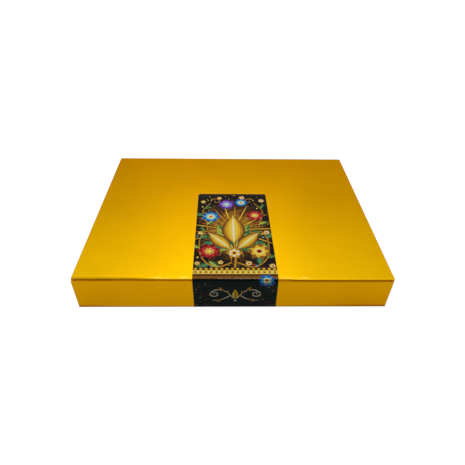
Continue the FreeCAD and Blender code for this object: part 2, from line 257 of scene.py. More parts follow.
class Finish:
    """A Principled material whose detail comes from procedural nodes."""

    def __init__(self, name, coords="Object"):
        self.material = bpy.data.materials.new(name)
        self.material.use_nodes = True
        self.tree = self.material.node_tree
        self.shader = self.tree.nodes["Principled BSDF"]
        self.place = self.tree.nodes.new("ShaderNodeTexCoord").outputs[coords]

    def put(self, settings):
        """Sets the shader's sockets, or links nodes' outputs to them, and gives the material."""
        for socket, value in settings.items():
            fill(self.tree, self.shader.inputs[socket], value)
        return self.material

    def node(self, kind, inputs, **settings):
        made = self.tree.nodes.new("ShaderNode" + kind)
        for key, value in settings.items():
            setattr(made, key, value)
        for key, value in inputs.items():
            fill(self.tree, made.inputs[key], value)
        return made

    def noise(self, size, detail=2.0, stretch=None):
        """Noise with features of a size in metres, from 0 to 1, drawn out along an axis by stretch."""
        where = self.place
        if stretch:
            where = self.node("Mapping", {"Vector": where, "Scale": stretch}).outputs[0]
        made = self.node("TexNoise", {"Vector": where, "Scale": 1 / size, "Detail": detail})
        return self.rise(made.outputs[0], *NOISE_SHARES)

    def relief(self, depth, **grain):
        """Noise that raises the surface by depth metres where it is 1."""
        height = self.noise(**grain)
        sockets = {"Height": height, "Distance": depth, "Strength": 1.0}
        normal = self.shader.inputs["Normal"]
        if normal.is_linked:
            sockets["Normal"] = normal.links[0].from_socket
        self.put({"Normal": self.node("Bump", sockets).outputs[0]})
        return height

    def spots(self, size):
        """Distance to the nearest of many scattered points, as a share of their spacing."""
        return self.node("TexVoronoi", {"Vector": self.place, "Scale": 1 / size}).outputs["Distance"]

    def axes(self):
        """The place along X, Y and Z, in metres."""
        return list(self.node("SeparateXYZ", {0: self.place}).outputs)

    def away(self, centre, reach):
        """Distance from a centre, as a share of the reach along each axis."""
        shift = self.node("VectorMath", {0: self.place, 1: centre}, operation="SUBTRACT").outputs[0]
        scaled = self.node("VectorMath", {0: shift, 1: reach}, operation="DIVIDE").outputs[0]
        return self.node("VectorMath", {0: scaled}, operation="LENGTH").outputs["Value"]

    def spread(self, value, start, end, low, high):
        """Carries a value from the range start to end over to the range low to high."""
        sockets = {"Value": value, "From Min": start, "From Max": end, "To Min": low, "To Max": high}
        return self.node("MapRange", sockets).outputs[0]

    def rise(self, value, start, end):
        """0 up to the start, and 1 past the end."""
        return self.spread(value, start, end, 0.0, 1.0)

    def fall(self, value, start, end):
        """1 up to the start, and 0 past the end."""
        return self.spread(value, start, end, 1.0, 0.0)

    def scaled(self, share, low, high):
        """From low where the share is 0 to high where it is 1."""
        return self.spread(share, 0.0, 1.0, low, high)

    def near(self, value, centre, reach, full=0.0):
        """1 up to a full distance from a centre, falling to 0 at the reach."""
        return self.fall(self.math("ABSOLUTE", self.math("SUBTRACT", value, centre)), full, reach)

    def math(self, operation, *values):
        return self.node("Math", dict(enumerate(values)), operation=operation).outputs[0]

    def product(self, first, *others):
        for other in others:
            first = self.math("MULTIPLY", first, other)
        return first

    def between(self, share, first, second, blend_type="MIX"):
        sockets = {0: share, 6: first, 7: second}
        return self.node("Mix", sockets, data_type="RGBA", blend_type=blend_type).outputs[2]

    def toned(self, share, tones):
        """The first of two tones where the share is 0, the second where it is 1."""
        return self.between(share, *[rgb(*tone) for tone in tones])

    def tinted(self, color, tint, *shares):
        """The colour times a tint, as far as the product of the shares says."""
        return self.between(self.product(*shares), color, tint, "MULTIPLY")

    def surface(self, tone, relief, rough, **others):
        """A colour, a relief that varies the roughness with it, and other constants by socket."""
        settings = {name.replace("_", " "): value for name, value in others.items()}
        settings["Base Color"] = tone
        settings["Roughness"] = self.scaled(self.relief(**relief), *rough)
        return self.put(settings)


# Materials


def gold_foil(name, coords, tones, shade=None):
    """Satin gold foil paper: fine grain and soft clouds, then the shade that is passed in."""
    foil = Finish(name, coords)
    swell = foil.relief(**SWELL)
    tone = foil.toned(foil.noise(FOIL_CLOUD), tones)
    tone = foil.between(foil.scaled(swell, 0.0, SWELL_SHARE), tone, rgb(*tones[1]))
    if shade:
        tone = shade(foil, tone)
    return foil.surface(tone, GRAIN, FOIL_ROUGH, Metallic=1.0, Specular_Tint=GRAZING_TINT)


def lid_shade(foil, tone):
    """Painted light and shade on the lid's foil: darker and more orange to the back, painted shade under the
    front edge and on its worn left bevel, and painted glints along that edge.
    """
    x, y, z = foil.axes()
    # Painted shade: darker and more orange towards the lid's back
    tone = foil.tinted(tone, PAINTED_BACK_SHADE_TINT, foil.rise(y, *PAINTED_BACK_SHADE_RANGE))
    # Painted shade on the lip under the front edge
    tone = foil.tinted(tone, LIP_SHADE_TINT, foil.fall(z, *LIP_SHADE_HEIGHTS), foil.fall(y, *LIP_SHADE_DEPTHS))
    # Painted shade along the worn left bevel
    bevel_share = foil.near(z, BEVEL_LINE, BEVEL_WIDTH)
    tone = foil.tinted(tone, BEVEL_SHADE_TINT, foil.fall(x, *BEVEL_RANGE), bevel_share)
    # Painted glints along the crest of the front edge
    place_share = foil.near(foil.math("ABSOLUTE", x), GLINT_PLACE, GLINT_SPREAD, GLINT_FULL)
    line_share = foil.near(y, GLINT_LINE, GLINT_WIDTH)
    spots = foil.rise(foil.noise(**GLINT_SPOTS), *GLINT_SPOT_SHARES)
    return foil.between(foil.product(spots, place_share, line_share), tone, PAINTED_GLINT_TONE)


def crease_shade(foil, tone):
    """Painted shade: darker foil in the left part of the front crease, and a painted shadow under the lip in
    its right part.
    """
    x, run, _ = foil.axes()
    # Painted shade in the left part of the crease
    tone = foil.tinted(tone, CREASE_LEFT_SHADE_TINT, foil.fall(x, *CREASE_LEFT_SHADE_RANGE))
    # Painted shadow under the lip in the right part of the crease
    return foil.tinted(tone, CREASE_SHADOW_TINT, foil.rise(x, *CREASE_SHADOW_RANGE), foil.fall(run, *CREASE_SHADOW_RUN))


def foot_shade(foil, tone):
    """A dark line where the foil meets the table, broader towards the ends: a painted contact shadow, and
    scuffing; and painted shade over the lower right.
    """
    x, _, z = foil.axes()
    right_share = foil.rise(x, *SCUFF_AND_SHADOW_RIGHT)
    end_share = foil.math("MAXIMUM", foil.fall(x, *SCUFF_AND_SHADOW_LEFT), right_share)
    reach = foil.scaled(end_share, *SCUFF_AND_SHADOW_REACHES)
    rubbed = foil.scaled(foil.noise(SCUFF_AND_SHADOW_CLOUD), *SCUFF_AND_SHADOW_SHARES)
    # Painted shade over the lower right
    tone = foil.tinted(tone, LOWER_RIGHT_SHADE_TINT, right_share, foil.fall(z, 0.0, LOWER_RIGHT_SHADE_REACH))
    # Painted contact shadow and scuffing along the foot
    return foil.tinted(tone, SCUFF_AND_SHADOW_TINT, rubbed, foil.fall(z, SCUFF_AND_SHADOW_FULL, reach))


def fibre_paper(name, tones, rough):
    """Uncoated paper or card: fine fibres and a little mottling."""
    sheet = Finish(name)
    return sheet.surface(sheet.toned(sheet.noise(PAPER_CLOUD), tones), FIBRE, rough)


def grid_card():
    """Card with a gold face, thinner and duller than the wrap."""
    card = Finish("grid_card")
    tone = card.toned(card.noise(CARD_CLOUD), CARD_TONES)
    return card.surface(tone, CARD_GRAIN, CARD_ROUGH, Metallic=0.85)


def metal_disc(name, tones, rough):
    disc = Finish(name)
    tone = disc.toned(disc.noise(**SCRATCH_LINES), tones)
    return disc.surface(tone, SCRATCH, rough, Metallic=1.0)


def glassine():
    """Thin brown cup paper, shiny on its flutes."""
    paper = Finish("cup_glassine")
    tone = paper.toned(paper.noise(GLASSINE_CLOUD), GLASSINE_TONES)
    return paper.surface(tone, GLASSINE_FIBRE, GLASSINE_ROUGH, Coat_Weight=0.25, Coat_Roughness=0.3)


def cushion_paper():
    """Soft cream padding paper with a fine crepe, darker along the quilting lines: painted shade in their
    grooves, and pressed paper.
    """
    paper = Finish("cushion_paper")
    turns = [paper.math("MULTIPLY", place, math.tau / QUILT_STEP) for place in paper.axes()[:2]]
    waves = [paper.math("COSINE", turn) for turn in turns]
    off_line = paper.math("ABSOLUTE", paper.math("SUBTRACT", *waves))
    tone = paper.toned(paper.noise(CUSHION_CLOUD), CUSHION_TONES)
    # Painted shade, and pressed paper, along the quilting lines
    tone = paper.tinted(tone, QUILT_SHADE_AND_PRESS_TINT, paper.fall(off_line, *QUILT_LINE_SHARES))
    return paper.surface(tone, CREPE, CREPE_ROUGH, Sheen_Weight=0.15)


def chocolate(name, tones, rough=CHOCOLATE_ROUGH, dust=None):
    """Tempered chocolate: glossy, softly clouded, with fine pits, and dusted if a colour is given."""
    bar = Finish(name)
    tone = bar.toned(bar.noise(CHOCOLATE_CLOUD), tones)
    if dust:
        tone = bar.between(bar.fall(bar.spots(DUST_SPACING), *DUST_SHARES), tone, rgb(*dust))
    bar.put({"Subsurface Weight": 0.06, "Subsurface Radius": CHOCOLATE_SCATTER})
    return bar.surface(tone, PITS, rough, Coat_Weight=0.3, Coat_Roughness=0.12)


def inked(ink, tone):
    """The surface of every ink: a fine tooth with little shine."""
    return ink.surface(tone, GRAIN, INK_ROUGH, Specular_IOR_Level=0.04)


def printed_ink(name, tones):
    """One ink of the label, printed a little unevenly."""
    ink = Finish("ink_" + name, "UV")
    return inked(ink, ink.toned(ink.noise(**INK_CLOUD), tones))


def glowing_ground(centre, reach):
    """The label's ground: near black, with a smoky amber glow about a centre."""
    ink = Finish("ink_ground", "UV")
    smoke = ink.noise(**SMOKE)
    away = ink.math("ADD", ink.away(centre, reach), ink.scaled(smoke, *SMOKE_SHARES))
    halo = ink.between(ink.rise(away, *HALO_SHARES), HALO_TONE, ink.toned(smoke, GROUND_TONES))
    return inked(ink, ink.between(ink.rise(away, *GLOW_SHARES), GLOW_TONE, halo))


# Mesh building


def joined(parts):
    """Points, faces and each face's ink, from several parts: a form, its place and its ink."""
    points, faces, inks = [], [], []
    for (part_points, part_faces), place, ink in parts:
        start = len(points)
        points += [tuple(np.add(p, place)) for p in part_points]
        faces += [[start + i for i in face] for face in part_faces]
        inks += [ink] * len(part_faces)
    return points, faces, inks


def make_piece(name, points, faces, materials, inks=None, uvs=None):
    mesh = bpy.data.meshes.new(name)
    mesh.from_pydata([tuple(p) for p in points], [], faces)
    for material in materials:
        mesh.materials.append(material)
    mesh.polygons.foreach_set("use_smooth", [True] * len(mesh.polygons))
    if inks is not None:
        mesh.polygons.foreach_set("material_index", inks)
    if uvs is not None:
        layer = mesh.uv_layers.new(name="flat")
        layer.data.foreach_set("uv", [c for loop in mesh.loops for c in uvs[loop.vertex_index]])
    mesh.update()
    return add_object(name, mesh)


def add_object(name, data, place=(0, 0, 0)):
    made = bpy.data.objects.new(name, data)
    made.location = place
    bpy.context.scene.collection.objects.link(made)
    return made


def dress(piece, body, slot, *nodes):
    """Sets a piece on its body and hides the nodes that it stands for. The slot is not used."""
    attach(piece, body)
    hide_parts(*nodes)


def fold(piece, bodies, y, heights, slot, *nodes):
    """Bakes a piece's place into its points and hides the nodes that it stands for. The bodies, heights and
    slot are not used.
    """
    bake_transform(piece)
    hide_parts(*nodes)


def grid_faces(rows, columns, loop_columns=False):
    """Quads over a grid of points that is listed row by row."""
    faces = []
    for i in range(rows - 1):
        for j in range(columns if loop_columns else columns - 1):
            n = (j + 1) % columns
            faces.append([i * columns + j, i * columns + n, (i + 1) * columns + n, (i + 1) * columns + j])
    return faces


def ring_faces(rows, columns):
    """Quads round a stack of closed loops, with a face over each end."""
    around = list(range(columns))
    return grid_faces(rows, columns, True) + [around[::-1], [(rows - 1) * columns + i for i in around]]


def even_lines(low, high, step):
    return np.linspace(low, high, round((high - low) / step) + 1)


def run_along(path):
    """The length of a path up to each of its points."""
    return np.concatenate([[0], np.cumsum(np.linalg.norm(np.diff(path, axis=0), axis=1))])


def angles(count):
    return [math.tau * i / count for i in range(count)]


def mix(first, second, share):
    return first + (second - first) * share


def ramp(value, start, end):
    """0 before the start, 1 past the end, and a smooth rise between them."""
    t = min(1.0, max(0.0, (value - start) / (end - start)))
    return t * t * (3 - 2 * t)


def bell(distance, reach):
    return math.exp(-((distance / reach) ** 2))


def waver(place, row):
    """Smooth noise from -1 to 1 along a line, different for each row."""
    return noise.noise((place, row, 0.5))


def half_waver(place, row):
    return 0.5 + 0.5 * waver(place, row)


# Case


class Front:
    """The lid's front edge and the crease below it, as the wrap has settled there."""

    def __init__(self):
        lid_low, lid_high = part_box("lid_wrap")
        flap_low, flap_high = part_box("flap_wrap")
        self.y = lid_low.y
        self.half = lid_high.x
        self.top = lid_high.z
        self.under = lid_low.z
        self.flap_top = flap_high.z
        self.flap_foot = flap_low.z
        self.crease = (self.under + self.flap_top) / 2

    def settle(self, point):
        """Moves a point of the lid's edge, the crease or the flap's top to where the wrap has settled."""
        x, y, z = point
        depth = y - self.y
        if depth > CREST_REACH + NOSE_DEPTH or z < self.flap_top - LIFT_FADE:
            return (x, y, z)
        worn = self.worn(x)
        sagged = ramp(x, *SAG_RANGE)
        end = ramp(abs(x), self.half - END_FADE, self.half)
        near = 1 - ramp(depth, 0.0, LIFT_REACH)
        under_share = self.under_share(z)
        lid_share = ramp(z, self.flap_top, self.under)
        flap_share = (1 - lid_share) * ramp(z, self.flap_top - LIFT_FADE, self.flap_top)
        lift = near * (UNDER_LIFT * under_share + mix(*FLAP_LIFTS, sagged) * flap_share)
        undercut = near * UNDERCUT * under_share * (1 - end)
        if self.flap_top < z < self.under:
            depth *= mix(1, END_DEPTH_SHARE, end)
        depth, z = self.bevelled(worn, depth, z)
        depth += lid_share * self.drawn(worn, depth) + undercut
        z = self.thinned(worn, z) + lift - self.crest(worn, sagged, depth, z)
        return self.rippled(x, self.y + depth, z)

    def worn(self, x):
        """How far the edge is worn: all the way on the left, and less and less towards the right."""
        return mix(1 - ramp(x, *TIRED_RANGE), 1 - ramp(x, *WORN_RANGE), WORN_SHARE)

    def under_share(self, z):
        """1 at the lid's underside, falling to 0 at the foot of its rounding and at the flap's top."""
        if z <= self.under:
            return ramp(z, self.flap_top, self.under)
        lip_top = self.top - NOSE_HEIGHT
        return max(0.0, (lip_top - z) / (lip_top - self.under))

    def bevelled(self, worn, depth, z):
        """Flattens the rounded edge towards a straight bevel where it is worn."""
        ahead = 1 - depth / NOSE_DEPTH
        above = 1 - (self.top - z) / NOSE_HEIGHT
        if ahead <= 0 or above <= 0:
            return depth, z
        power = mix(ROUND_POWER, WORN_BEVEL_POWER, worn)
        shrink = math.hypot(ahead, above) / (ahead**power + above**power) ** (1 / power)
        return NOSE_DEPTH * (1 - ahead * shrink), self.top - NOSE_HEIGHT * (1 - above * shrink)

    def drawn(self, worn, depth):
        """How far the edge is set back where it is worn, or its rounding drawn forward where it is crisp."""
        back = WORN_SETBACK * worn * max(0.0, 1 - depth / NOSE_DEPTH)
        slack = max(0.0, depth) * (1 - NOSE_CRISP_SHARE) * (1 - ramp(depth, 0.0, 2 * NOSE_DEPTH))
        return back - slack * (1 - worn)

    def thinned(self, worn, z):
        """The height of a point of the lid's edge, whose rounding is lower where it is crisp."""
        height_share = mix(NOSE_CRISP_SHARE, 1, worn)
        fall = self.top - z
        if fall < NOSE_HEIGHT:
            return self.top - fall * height_share
        if z < self.under:
            return z
        lip = self.top - self.under - NOSE_HEIGHT
        lip_share = (z - self.under) / lip
        return self.under + lip_share * (lip + NOSE_HEIGHT * (1 - height_share))

    def crest(self, worn, sagged, depth, z):
        """How far the lid's face falls away towards its front edge, or towards the bevel where it is worn."""
        height_share = max(0.0, (z - self.under) / (self.top - self.under))
        behind = max(0.0, depth - worn * NOSE_DEPTH)
        return mix(*CREST_DROPS, sagged) * height_share * max(0.0, 1 - behind / CREST_REACH) ** 2

    def rippled(self, x, y, z):
        """Presses the wrap in unevenly along the crease, most where it is crinkled."""
        near = bell(math.hypot(y - self.y, z - self.crease), RIPPLE_REACH)
        y += near * RIPPLE_DEPTH * half_waver(x / RIPPLE_WAVE, 1)
        z += near * RIPPLE_DEPTH * waver(x / RIPPLE_WAVE, 3)
        crinkle = CRINKLE_DEPTH * bell(x - CRINKLE_PLACE, CRINKLE_SPREAD) * half_waver(x / CRINKLE_WAVE, 2)
        return (x, y, z - crinkle * bell(y - self.y, RIPPLE_REACH))


def streaked(point):
    """Presses faint slanting waves into the right half of the flap."""
    x, y, z = point
    wave = half_waver((x + STREAK_SLANT_SHARE * z) / STREAK_WAVE, 4)
    return x, y + STREAK_DEPTH * ramp(x, *STREAK_RANGE) * wave, z


def edge_lines(low, high, soft_low, soft_high, step, extra):
    """Grid lines across a panel: close together round its edges, then a step apart."""
    turns = [1 - math.tan(math.radians(a)) for a in EDGE_ANGLES_DEG]
    lines = [low + soft_low * t for t in turns] + [high - soft_high * t for t in turns] + list(extra)
    inner_low = low + soft_low + HOLD
    inner_high = high - soft_high - HOLD
    if inner_high > inner_low:
        count = max(1, round((inner_high - inner_low) / step))
        lines += list(np.linspace(inner_low, inner_high, count + 1))
    return sorted({round(x, LINE_DIGITS) for x in lines})


def panel_form(low, high, steps, soft_low, soft_high, window=None, y_lines=()):
    """Points and faces of a board with rounded edges, open over its window."""
    extra = [[], list(y_lines), []]
    if window:
        extra = [extra[i] + [e[i] for e in window if low[i] < e[i] < high[i]] for i in range(3)]
    lines = [edge_lines(low[i], high[i], soft_low[i], soft_high[i], steps[i], extra[i]) for i in range(3)]
    index = {}
    points = []
    faces = []

    def corner(place):
        if place not in index:
            index[place] = len(points)
            points.append([lines[axis][place[axis]] for axis in range(3)])
        return index[place]

    for axis in range(3):
        across, along = (axis + 1) % 3, (axis + 2) % 3
        for side in (0, len(lines[axis]) - 1):
            for i in range(len(lines[across]) - 1):
                for j in range(len(lines[along]) - 1):
                    quad = []
                    for di, dj in ((0, 0), (1, 0), (1, 1), (0, 1)):
                        place = [0, 0, 0]
                        place[axis], place[across], place[along] = side, i + di, j + dj
                        quad.append(corner(tuple(place)))
                    middle = np.mean([points[q] for q in quad], axis=0)
                    if window and np.all(middle > window[0]) and np.all(middle < window[1]):
                        continue
                    faces.append(quad if side else quad[::-1])

    points = np.array(points)
    core = np.clip(points, np.add(low, soft_low), np.subtract(high, soft_high))
    radii = np.where(points < core, soft_low, soft_high)
    out = (points - core) / radii
    return core + radii * out / np.linalg.norm(out, axis=1)[:, None], faces


COARSE_STEPS = (PANEL_STEP,) * 3
FINE_STEPS = (CREASE_STEP, PANEL_STEP, PANEL_STEP)
EDGE_SOFT = (EDGE,) * 3
CORE_SOFT = (EDGE - PAPER,) * 3
LINER_SOFT = (PAPER / 3,) * 3


def build_case(front, lid_foil, foil, front_foil, rear_foil, board, liner):
    build_lid(front, lid_foil, board, liner)
    build_flap(front, foil)
    for name in ("spine", "base"):
        form = panel_form(*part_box(name + "_wrap"), COARSE_STEPS, EDGE_SOFT, EDGE_SOFT)
        dress(make_piece(name + "_skin", *form, [foil]), "base", "gold_wrap", name + "_wrap")
    build_creases(front, front_foil, rear_foil)


def build_lid(front, foil, board, liner):
    """The lid's wrap and liner, with the settled front edge, and its board, set back behind that."""
    low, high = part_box("lid_wrap")
    window = (
        (low.x + TURN_IN, low.y + LIP_TURN, low.z - PAPER),
        (high.x - TURN_IN, high.y - PAPER, low.z + PAPER),
    )
    soft_low = (EDGE, NOSE_DEPTH, NOSE_UNDER)
    soft_high = (EDGE, EDGE, NOSE_HEIGHT)
    crest_lines = [low.y + NOSE_DEPTH + CREST_REACH * share for share in CREST_LINE_SHARES]
    points, faces = panel_form(low, high, FINE_STEPS, soft_low, soft_high, window, crest_lines)
    points = [front.settle(p) for p in points]
    dress(make_piece("lid_skin", points, faces, [foil]), "lid", "gold_wrap", "lid_wrap")

    low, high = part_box("lid_board")
    low.y += CORE_SETBACK
    form = panel_form(low, high, FINE_STEPS, CORE_SOFT, CORE_SOFT)
    dress(make_piece("lid_core", *form, [board]), "lid", "greyboard", "lid_board")

    points, faces = panel_form(*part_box("lid_liner"), FINE_STEPS, LINER_SOFT, LINER_SOFT)
    points = [front.settle(p) for p in points]
    dress(make_piece("lid_lining", points, faces, [liner]), "lid", "liner_paper", "lid_liner")


def build_flap(front, foil):
    low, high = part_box("flap_wrap")
    window = (
        (low.x + TURN_IN, high.y - PAPER, low.z + TURN_IN),
        (high.x - TURN_IN, high.y + PAPER, high.z - PAPER),
    )
    points, faces = panel_form(low, high, FINE_STEPS, EDGE_SOFT, EDGE_SOFT, window)
    points = [front.settle(streaked(p)) for p in points]
    dress(make_piece("flap_skin", points, faces, [foil]), "flap", "gold_wrap", "flap_wrap")


def build_creases(front, front_foil, rear_foil):
    """The paper at the bottom of each groove."""
    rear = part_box("lid_wrap")[1].y
    spine_low, spine_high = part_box("spine_wrap")

    gap = (front.under, front.flap_top)
    piece = crease_piece("flap_crease", "flap_hinge_strip", front.y, 1, gap, front_foil, front.settle)
    fold(piece, ("lid", "flap"), front.y, gap, "gold_wrap", "flap_hinge_strip")

    gap = (front.under, spine_high.z)
    piece = crease_piece("lid_crease", "lid_hinge_strip", rear, -1, gap, rear_foil)
    fold(piece, ("lid", "base"), rear, gap, "gold_wrap", "lid_hinge_strip")

    gap = (spine_low.z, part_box("base_wrap")[1].z)
    piece = crease_piece("base_crease", "base_hinge_strip", rear, -1, gap, rear_foil)
    dress(piece, "base", "gold_wrap", "base_hinge_strip")


def crease_piece(name, node, outer, inward, gap, material, settle=None):
    """A sheet along X that dips from one panel's edge to the other's, laid out flat for its grain."""
    low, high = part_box(node)
    lip = outer + inward * EDGE
    bottom = outer + inward * GROOVE_DEPTH
    profile = []
    for a in np.linspace(0, math.pi, GROOVE_POINTS):
        z = mix(gap[0] + PAPER, gap[1] - PAPER, (1 - math.cos(a)) / 2)
        profile.append((mix(lip, bottom, math.sin(a)), z))
    xs = even_lines(low.x, high.x, CREASE_STEP)
    points = [(x, y, z) for x in xs for y, z in profile]
    if settle:
        points = [settle(p) for p in points]
    run = run_along(profile)
    uvs = [(x, r) for x in xs for r in run]
    return make_piece(name, points, grid_faces(len(xs), len(profile)), [material], uvs=uvs)


# Tray

TRAY_CORNERS = (1.1 * MM, 0.4 * MM)
CORNER_STEPS = 4
RIM_STEPS = 9


def ring_loop(half_x, half_y, centre_y, radius, z):
    """One closed loop round a rectangle with rounded corners."""
    loop = []
    for quarter, (sign_x, sign_y) in enumerate(((1, 1), (-1, 1), (-1, -1), (1, -1))):
        for i in range(CORNER_STEPS + 1):
            a = math.pi / 2 * (quarter + i / CORNER_STEPS)
            x = sign_x * (half_x - radius) + radius * math.cos(a)
            y = centre_y + sign_y * (half_y - radius) + radius * math.sin(a)
            loop.append((x, y, z))
    return loop


def build_tray(foil):
    """The tray's wrap: up the outside, over the rounded rim and down the inside."""
    low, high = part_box("tray_wrap")
    floor_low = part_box("tray_floor_paper")[0]
    wall = floor_low.x - low.x
    rim = wall / 2
    shoulder = high.z - rim
    profile = [(0.0, low.z), (0.0, low.z + HOLD), (0.0, shoulder - HOLD)]
    for a in np.linspace(0, math.pi, RIM_STEPS):
        profile.append((rim - rim * math.cos(a), shoulder + rim * math.sin(a)))
    profile += [(wall, shoulder - HOLD), (wall, floor_low.z + HOLD), (wall, floor_low.z)]
    half_x, half_y = (high.x - low.x) / 2, (high.y - low.y) / 2
    points = []
    for inset, z in profile:
        radius = mix(*TRAY_CORNERS, inset / wall)
        points += ring_loop(half_x - inset, half_y - inset, (high.y + low.y) / 2, radius, z)
    faces = grid_faces(len(profile), len(points) // len(profile), True)
    dress(make_piece("tray_skin", points, faces, [foil]), "base", "gold_wrap", "tray_wrap")


# Lid pad

QUILT_STEP = 16.5 * MM
QUILT_DEPTH = 1.7 * MM
PAD_GRID = 1.1 * MM
PAD_RIM = 1.8 * MM
PAD_EDGE_SHARE = 0.35


def build_pad(material):
    """A padded sheet, pressed into diamonds, that swells between its lines and thins at its edge."""
    low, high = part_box("lid_pad")
    thick = high.z - low.z
    xs = even_lines(low.x, high.x, PAD_GRID)
    ys = even_lines(low.y, high.y, PAD_GRID)
    points = []
    for x in xs:
        for y in ys:
            rim = min(x - low.x, high.x - x, y - low.y, high.y - y)
            swell_share = mix(PAD_EDGE_SHARE, 1, 1 - math.exp(-rim / PAD_RIM))
            lines = math.sin(math.pi * (x + y) / QUILT_STEP) * math.sin(math.pi * (x - y) / QUILT_STEP)
            pillow_share = math.sqrt(abs(lines))
            depth = (thick - QUILT_DEPTH * (1 - pillow_share)) * swell_share
            points.append((x, y, high.z - depth))
    faces = grid_faces(len(xs), len(ys))
    start = len(points)
    number = np.arange(start).reshape(len(xs), len(ys))
    sides = [number[:, 0], number[-1, 1:], number[-2::-1, -1], number[0, -2:0:-1]]
    border = np.concatenate(sides).tolist()
    points += [(points[i][0], points[i][1], high.z) for i in border]
    for i in range(len(border)):
        n = (i + 1) % len(border)
        faces.append([border[i], border[n], start + n, start + i])
    piece = make_piece("quilted_pad", points, faces, [material])
    dress(piece, "lid", "cushion_paper", "lid_pad")


# Cups

COLUMNS = 6
ROWS = 5
KIND_TURN = 2
FLUTES = 28
FLUTE_POINTS = 4
FLUTE_DEPTHS = (0.25 * MM, 0.8 * MM)
CUP_FLARE = 2.3 * MM
CUP_SQUEEZE = 0.25 * MM
CUP_LEVELS = 7
CUP_SHEET = 0.12 * MM
CUP_HEIGHT_SHARE = 0.97
RIM_WAVE = 0.25 * MM
RIM_WAVES = 3


class Cells:
    """The grid of cells in the tray, and the chocolates' places in them."""

    def __init__(self):
        low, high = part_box("tray_floor_paper")
        self.low = low
        self.width = (high.x - low.x) / COLUMNS
        self.depth = (high.y - low.y) / ROWS
        self.all = [(column, row) for row in range(ROWS) for column in range(COLUMNS)]

    def place(self, cell, z):
        return (self.low.x + self.width * (cell[0] + 0.5), self.low.y + self.depth * (cell[1] + 0.5), z)

    def of_kind(self, kind):
        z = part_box(kind)[0].z
        kinds = list(MAKERS)
        number = kinds.index(kind)
        return [self.place(c, z) for c in self.all if (c[0] + KIND_TURN * c[1]) % len(kinds) == number]

    def size(self, kind):
        """Half the width, half the depth and the height of one chocolate of a kind."""
        low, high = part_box(kind)
        halves = []
        for axis in range(2):
            places = [p[axis] for p in self.of_kind(kind)]
            halves.append((high[axis] - low[axis] - (max(places) - min(places))) / 2)
        return halves[0], halves[1], high.z - low.z


def cup_form(rim_radius, height, chance):
    """A fluted cup, a little squeezed and wavy at its rim, so that no two are alike."""
    turn = chance.uniform(0, math.tau)
    squeeze = chance.uniform(0.0, CUP_SQUEEZE)
    around = FLUTES * FLUTE_POINTS
    points = []
    for level in range(CUP_LEVELS + 1):
        share = level / CUP_LEVELS
        flute = mix(*FLUTE_DEPTHS, share)
        middle = rim_radius - CUP_FLARE * (1 - share) - flute
        for a in angles(around):
            radius = middle + flute * math.cos(FLUTES * a) - squeeze * share * (1 + math.cos(2 * a + turn))
            z = share * (height * CUP_HEIGHT_SHARE + RIM_WAVE * math.sin(RIM_WAVES * a + turn))
            points.append((radius * math.cos(a + turn), radius * math.sin(a + turn), z))
    faces = grid_faces(CUP_LEVELS + 1, around, True)
    faces.append(list(range(around))[::-1])
    return points, faces


def build_cups(cells, material):
    low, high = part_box("paper_cups")
    rim_radius = (high.x - low.x - cells.width * (COLUMNS - 1)) / 2
    chance = random.Random(SEED)
    places = [cells.place(cell, low.z) for cell in cells.all]
    cups = [(cup_form(rim_radius, high.z - low.z, chance), place, 0) for place in places]
    points, faces, _ = joined(cups)
    piece = make_piece("fluted_cups", points, faces, [material])
    sheet = piece.modifiers.new("paper", "SOLIDIFY")
    sheet.thickness = CUP_SHEET
    sheet.offset = -1
    dress(piece, "base", "cup_paper", "paper_cups")


# Chocolates

SHOULDER = 2.2 * MM
SHOULDER_STEPS = 8
CROWN = 0.4 * MM
FOOT_PROFILE = ((0.6 * MM, 0.0), (0.15 * MM, 0.4 * MM), (0.0, 1.0 * MM))
CROWN_SHARES = (0.3, 0.6, 0.9)
OVAL_POINTS = 56
FLUTED_POINTS = 112
HEART_POINTS = 72
BEAD = 0.6 * MM
BEAD_SIDES = 6
BEAD_TIP_SHARE = 0.25
DOME_ROUND_SHARE = 0.8
DOME_STEPS = 12
DOME_LINE_SHARES = (-0.42, -0.1, 0.22, 0.5)
DOME_SPAN_SHARE = 0.8
DOME_LINE_POINTS = 13
DOME_WAVE_SHARE = 0.18
DOME_WAVE_TURN = 2.2
SQUARE_POWER = 5.0
SQUARE_LINE_SHARES = (-0.5, -0.17, 0.17, 0.5)
SQUARE_SPAN_SHARE = 0.62
SQUARE_LINE_POINTS = 21
SQUARE_WAVE_SHARE = 0.1
SQUARE_WAVE_TURN = 7
OVAL_LINES = 6
OVAL_LINE_POINTS = 9
OVAL_REACH_SHARE = 0.55
OVAL_SPAN_SHARE = 0.72
OVAL_SLANT_SHARE = 0.12
CONE_FLUTES = 14
CONE_FLUTE_SHARE = 0.07
CONE_TOP_SHARE = 0.78
SALT = 0.55 * MM
SALT_COUNT = 18
SALT_SHARE = 0.45
BAR_POWER = 7.0
NUT = 1.1 * MM
NUT_COUNT = 30
NUT_SHARES = (0.75, 0.65)
CRUMB_SHARES = (0.6, 1.2)
CORNER_SHARES = (0.55, 1.0)
CUBE_FACES = ((0, 1, 3, 2), (4, 6, 7, 5), (0, 4, 5, 1), (2, 3, 7, 6), (0, 2, 6, 4), (1, 5, 7, 3))

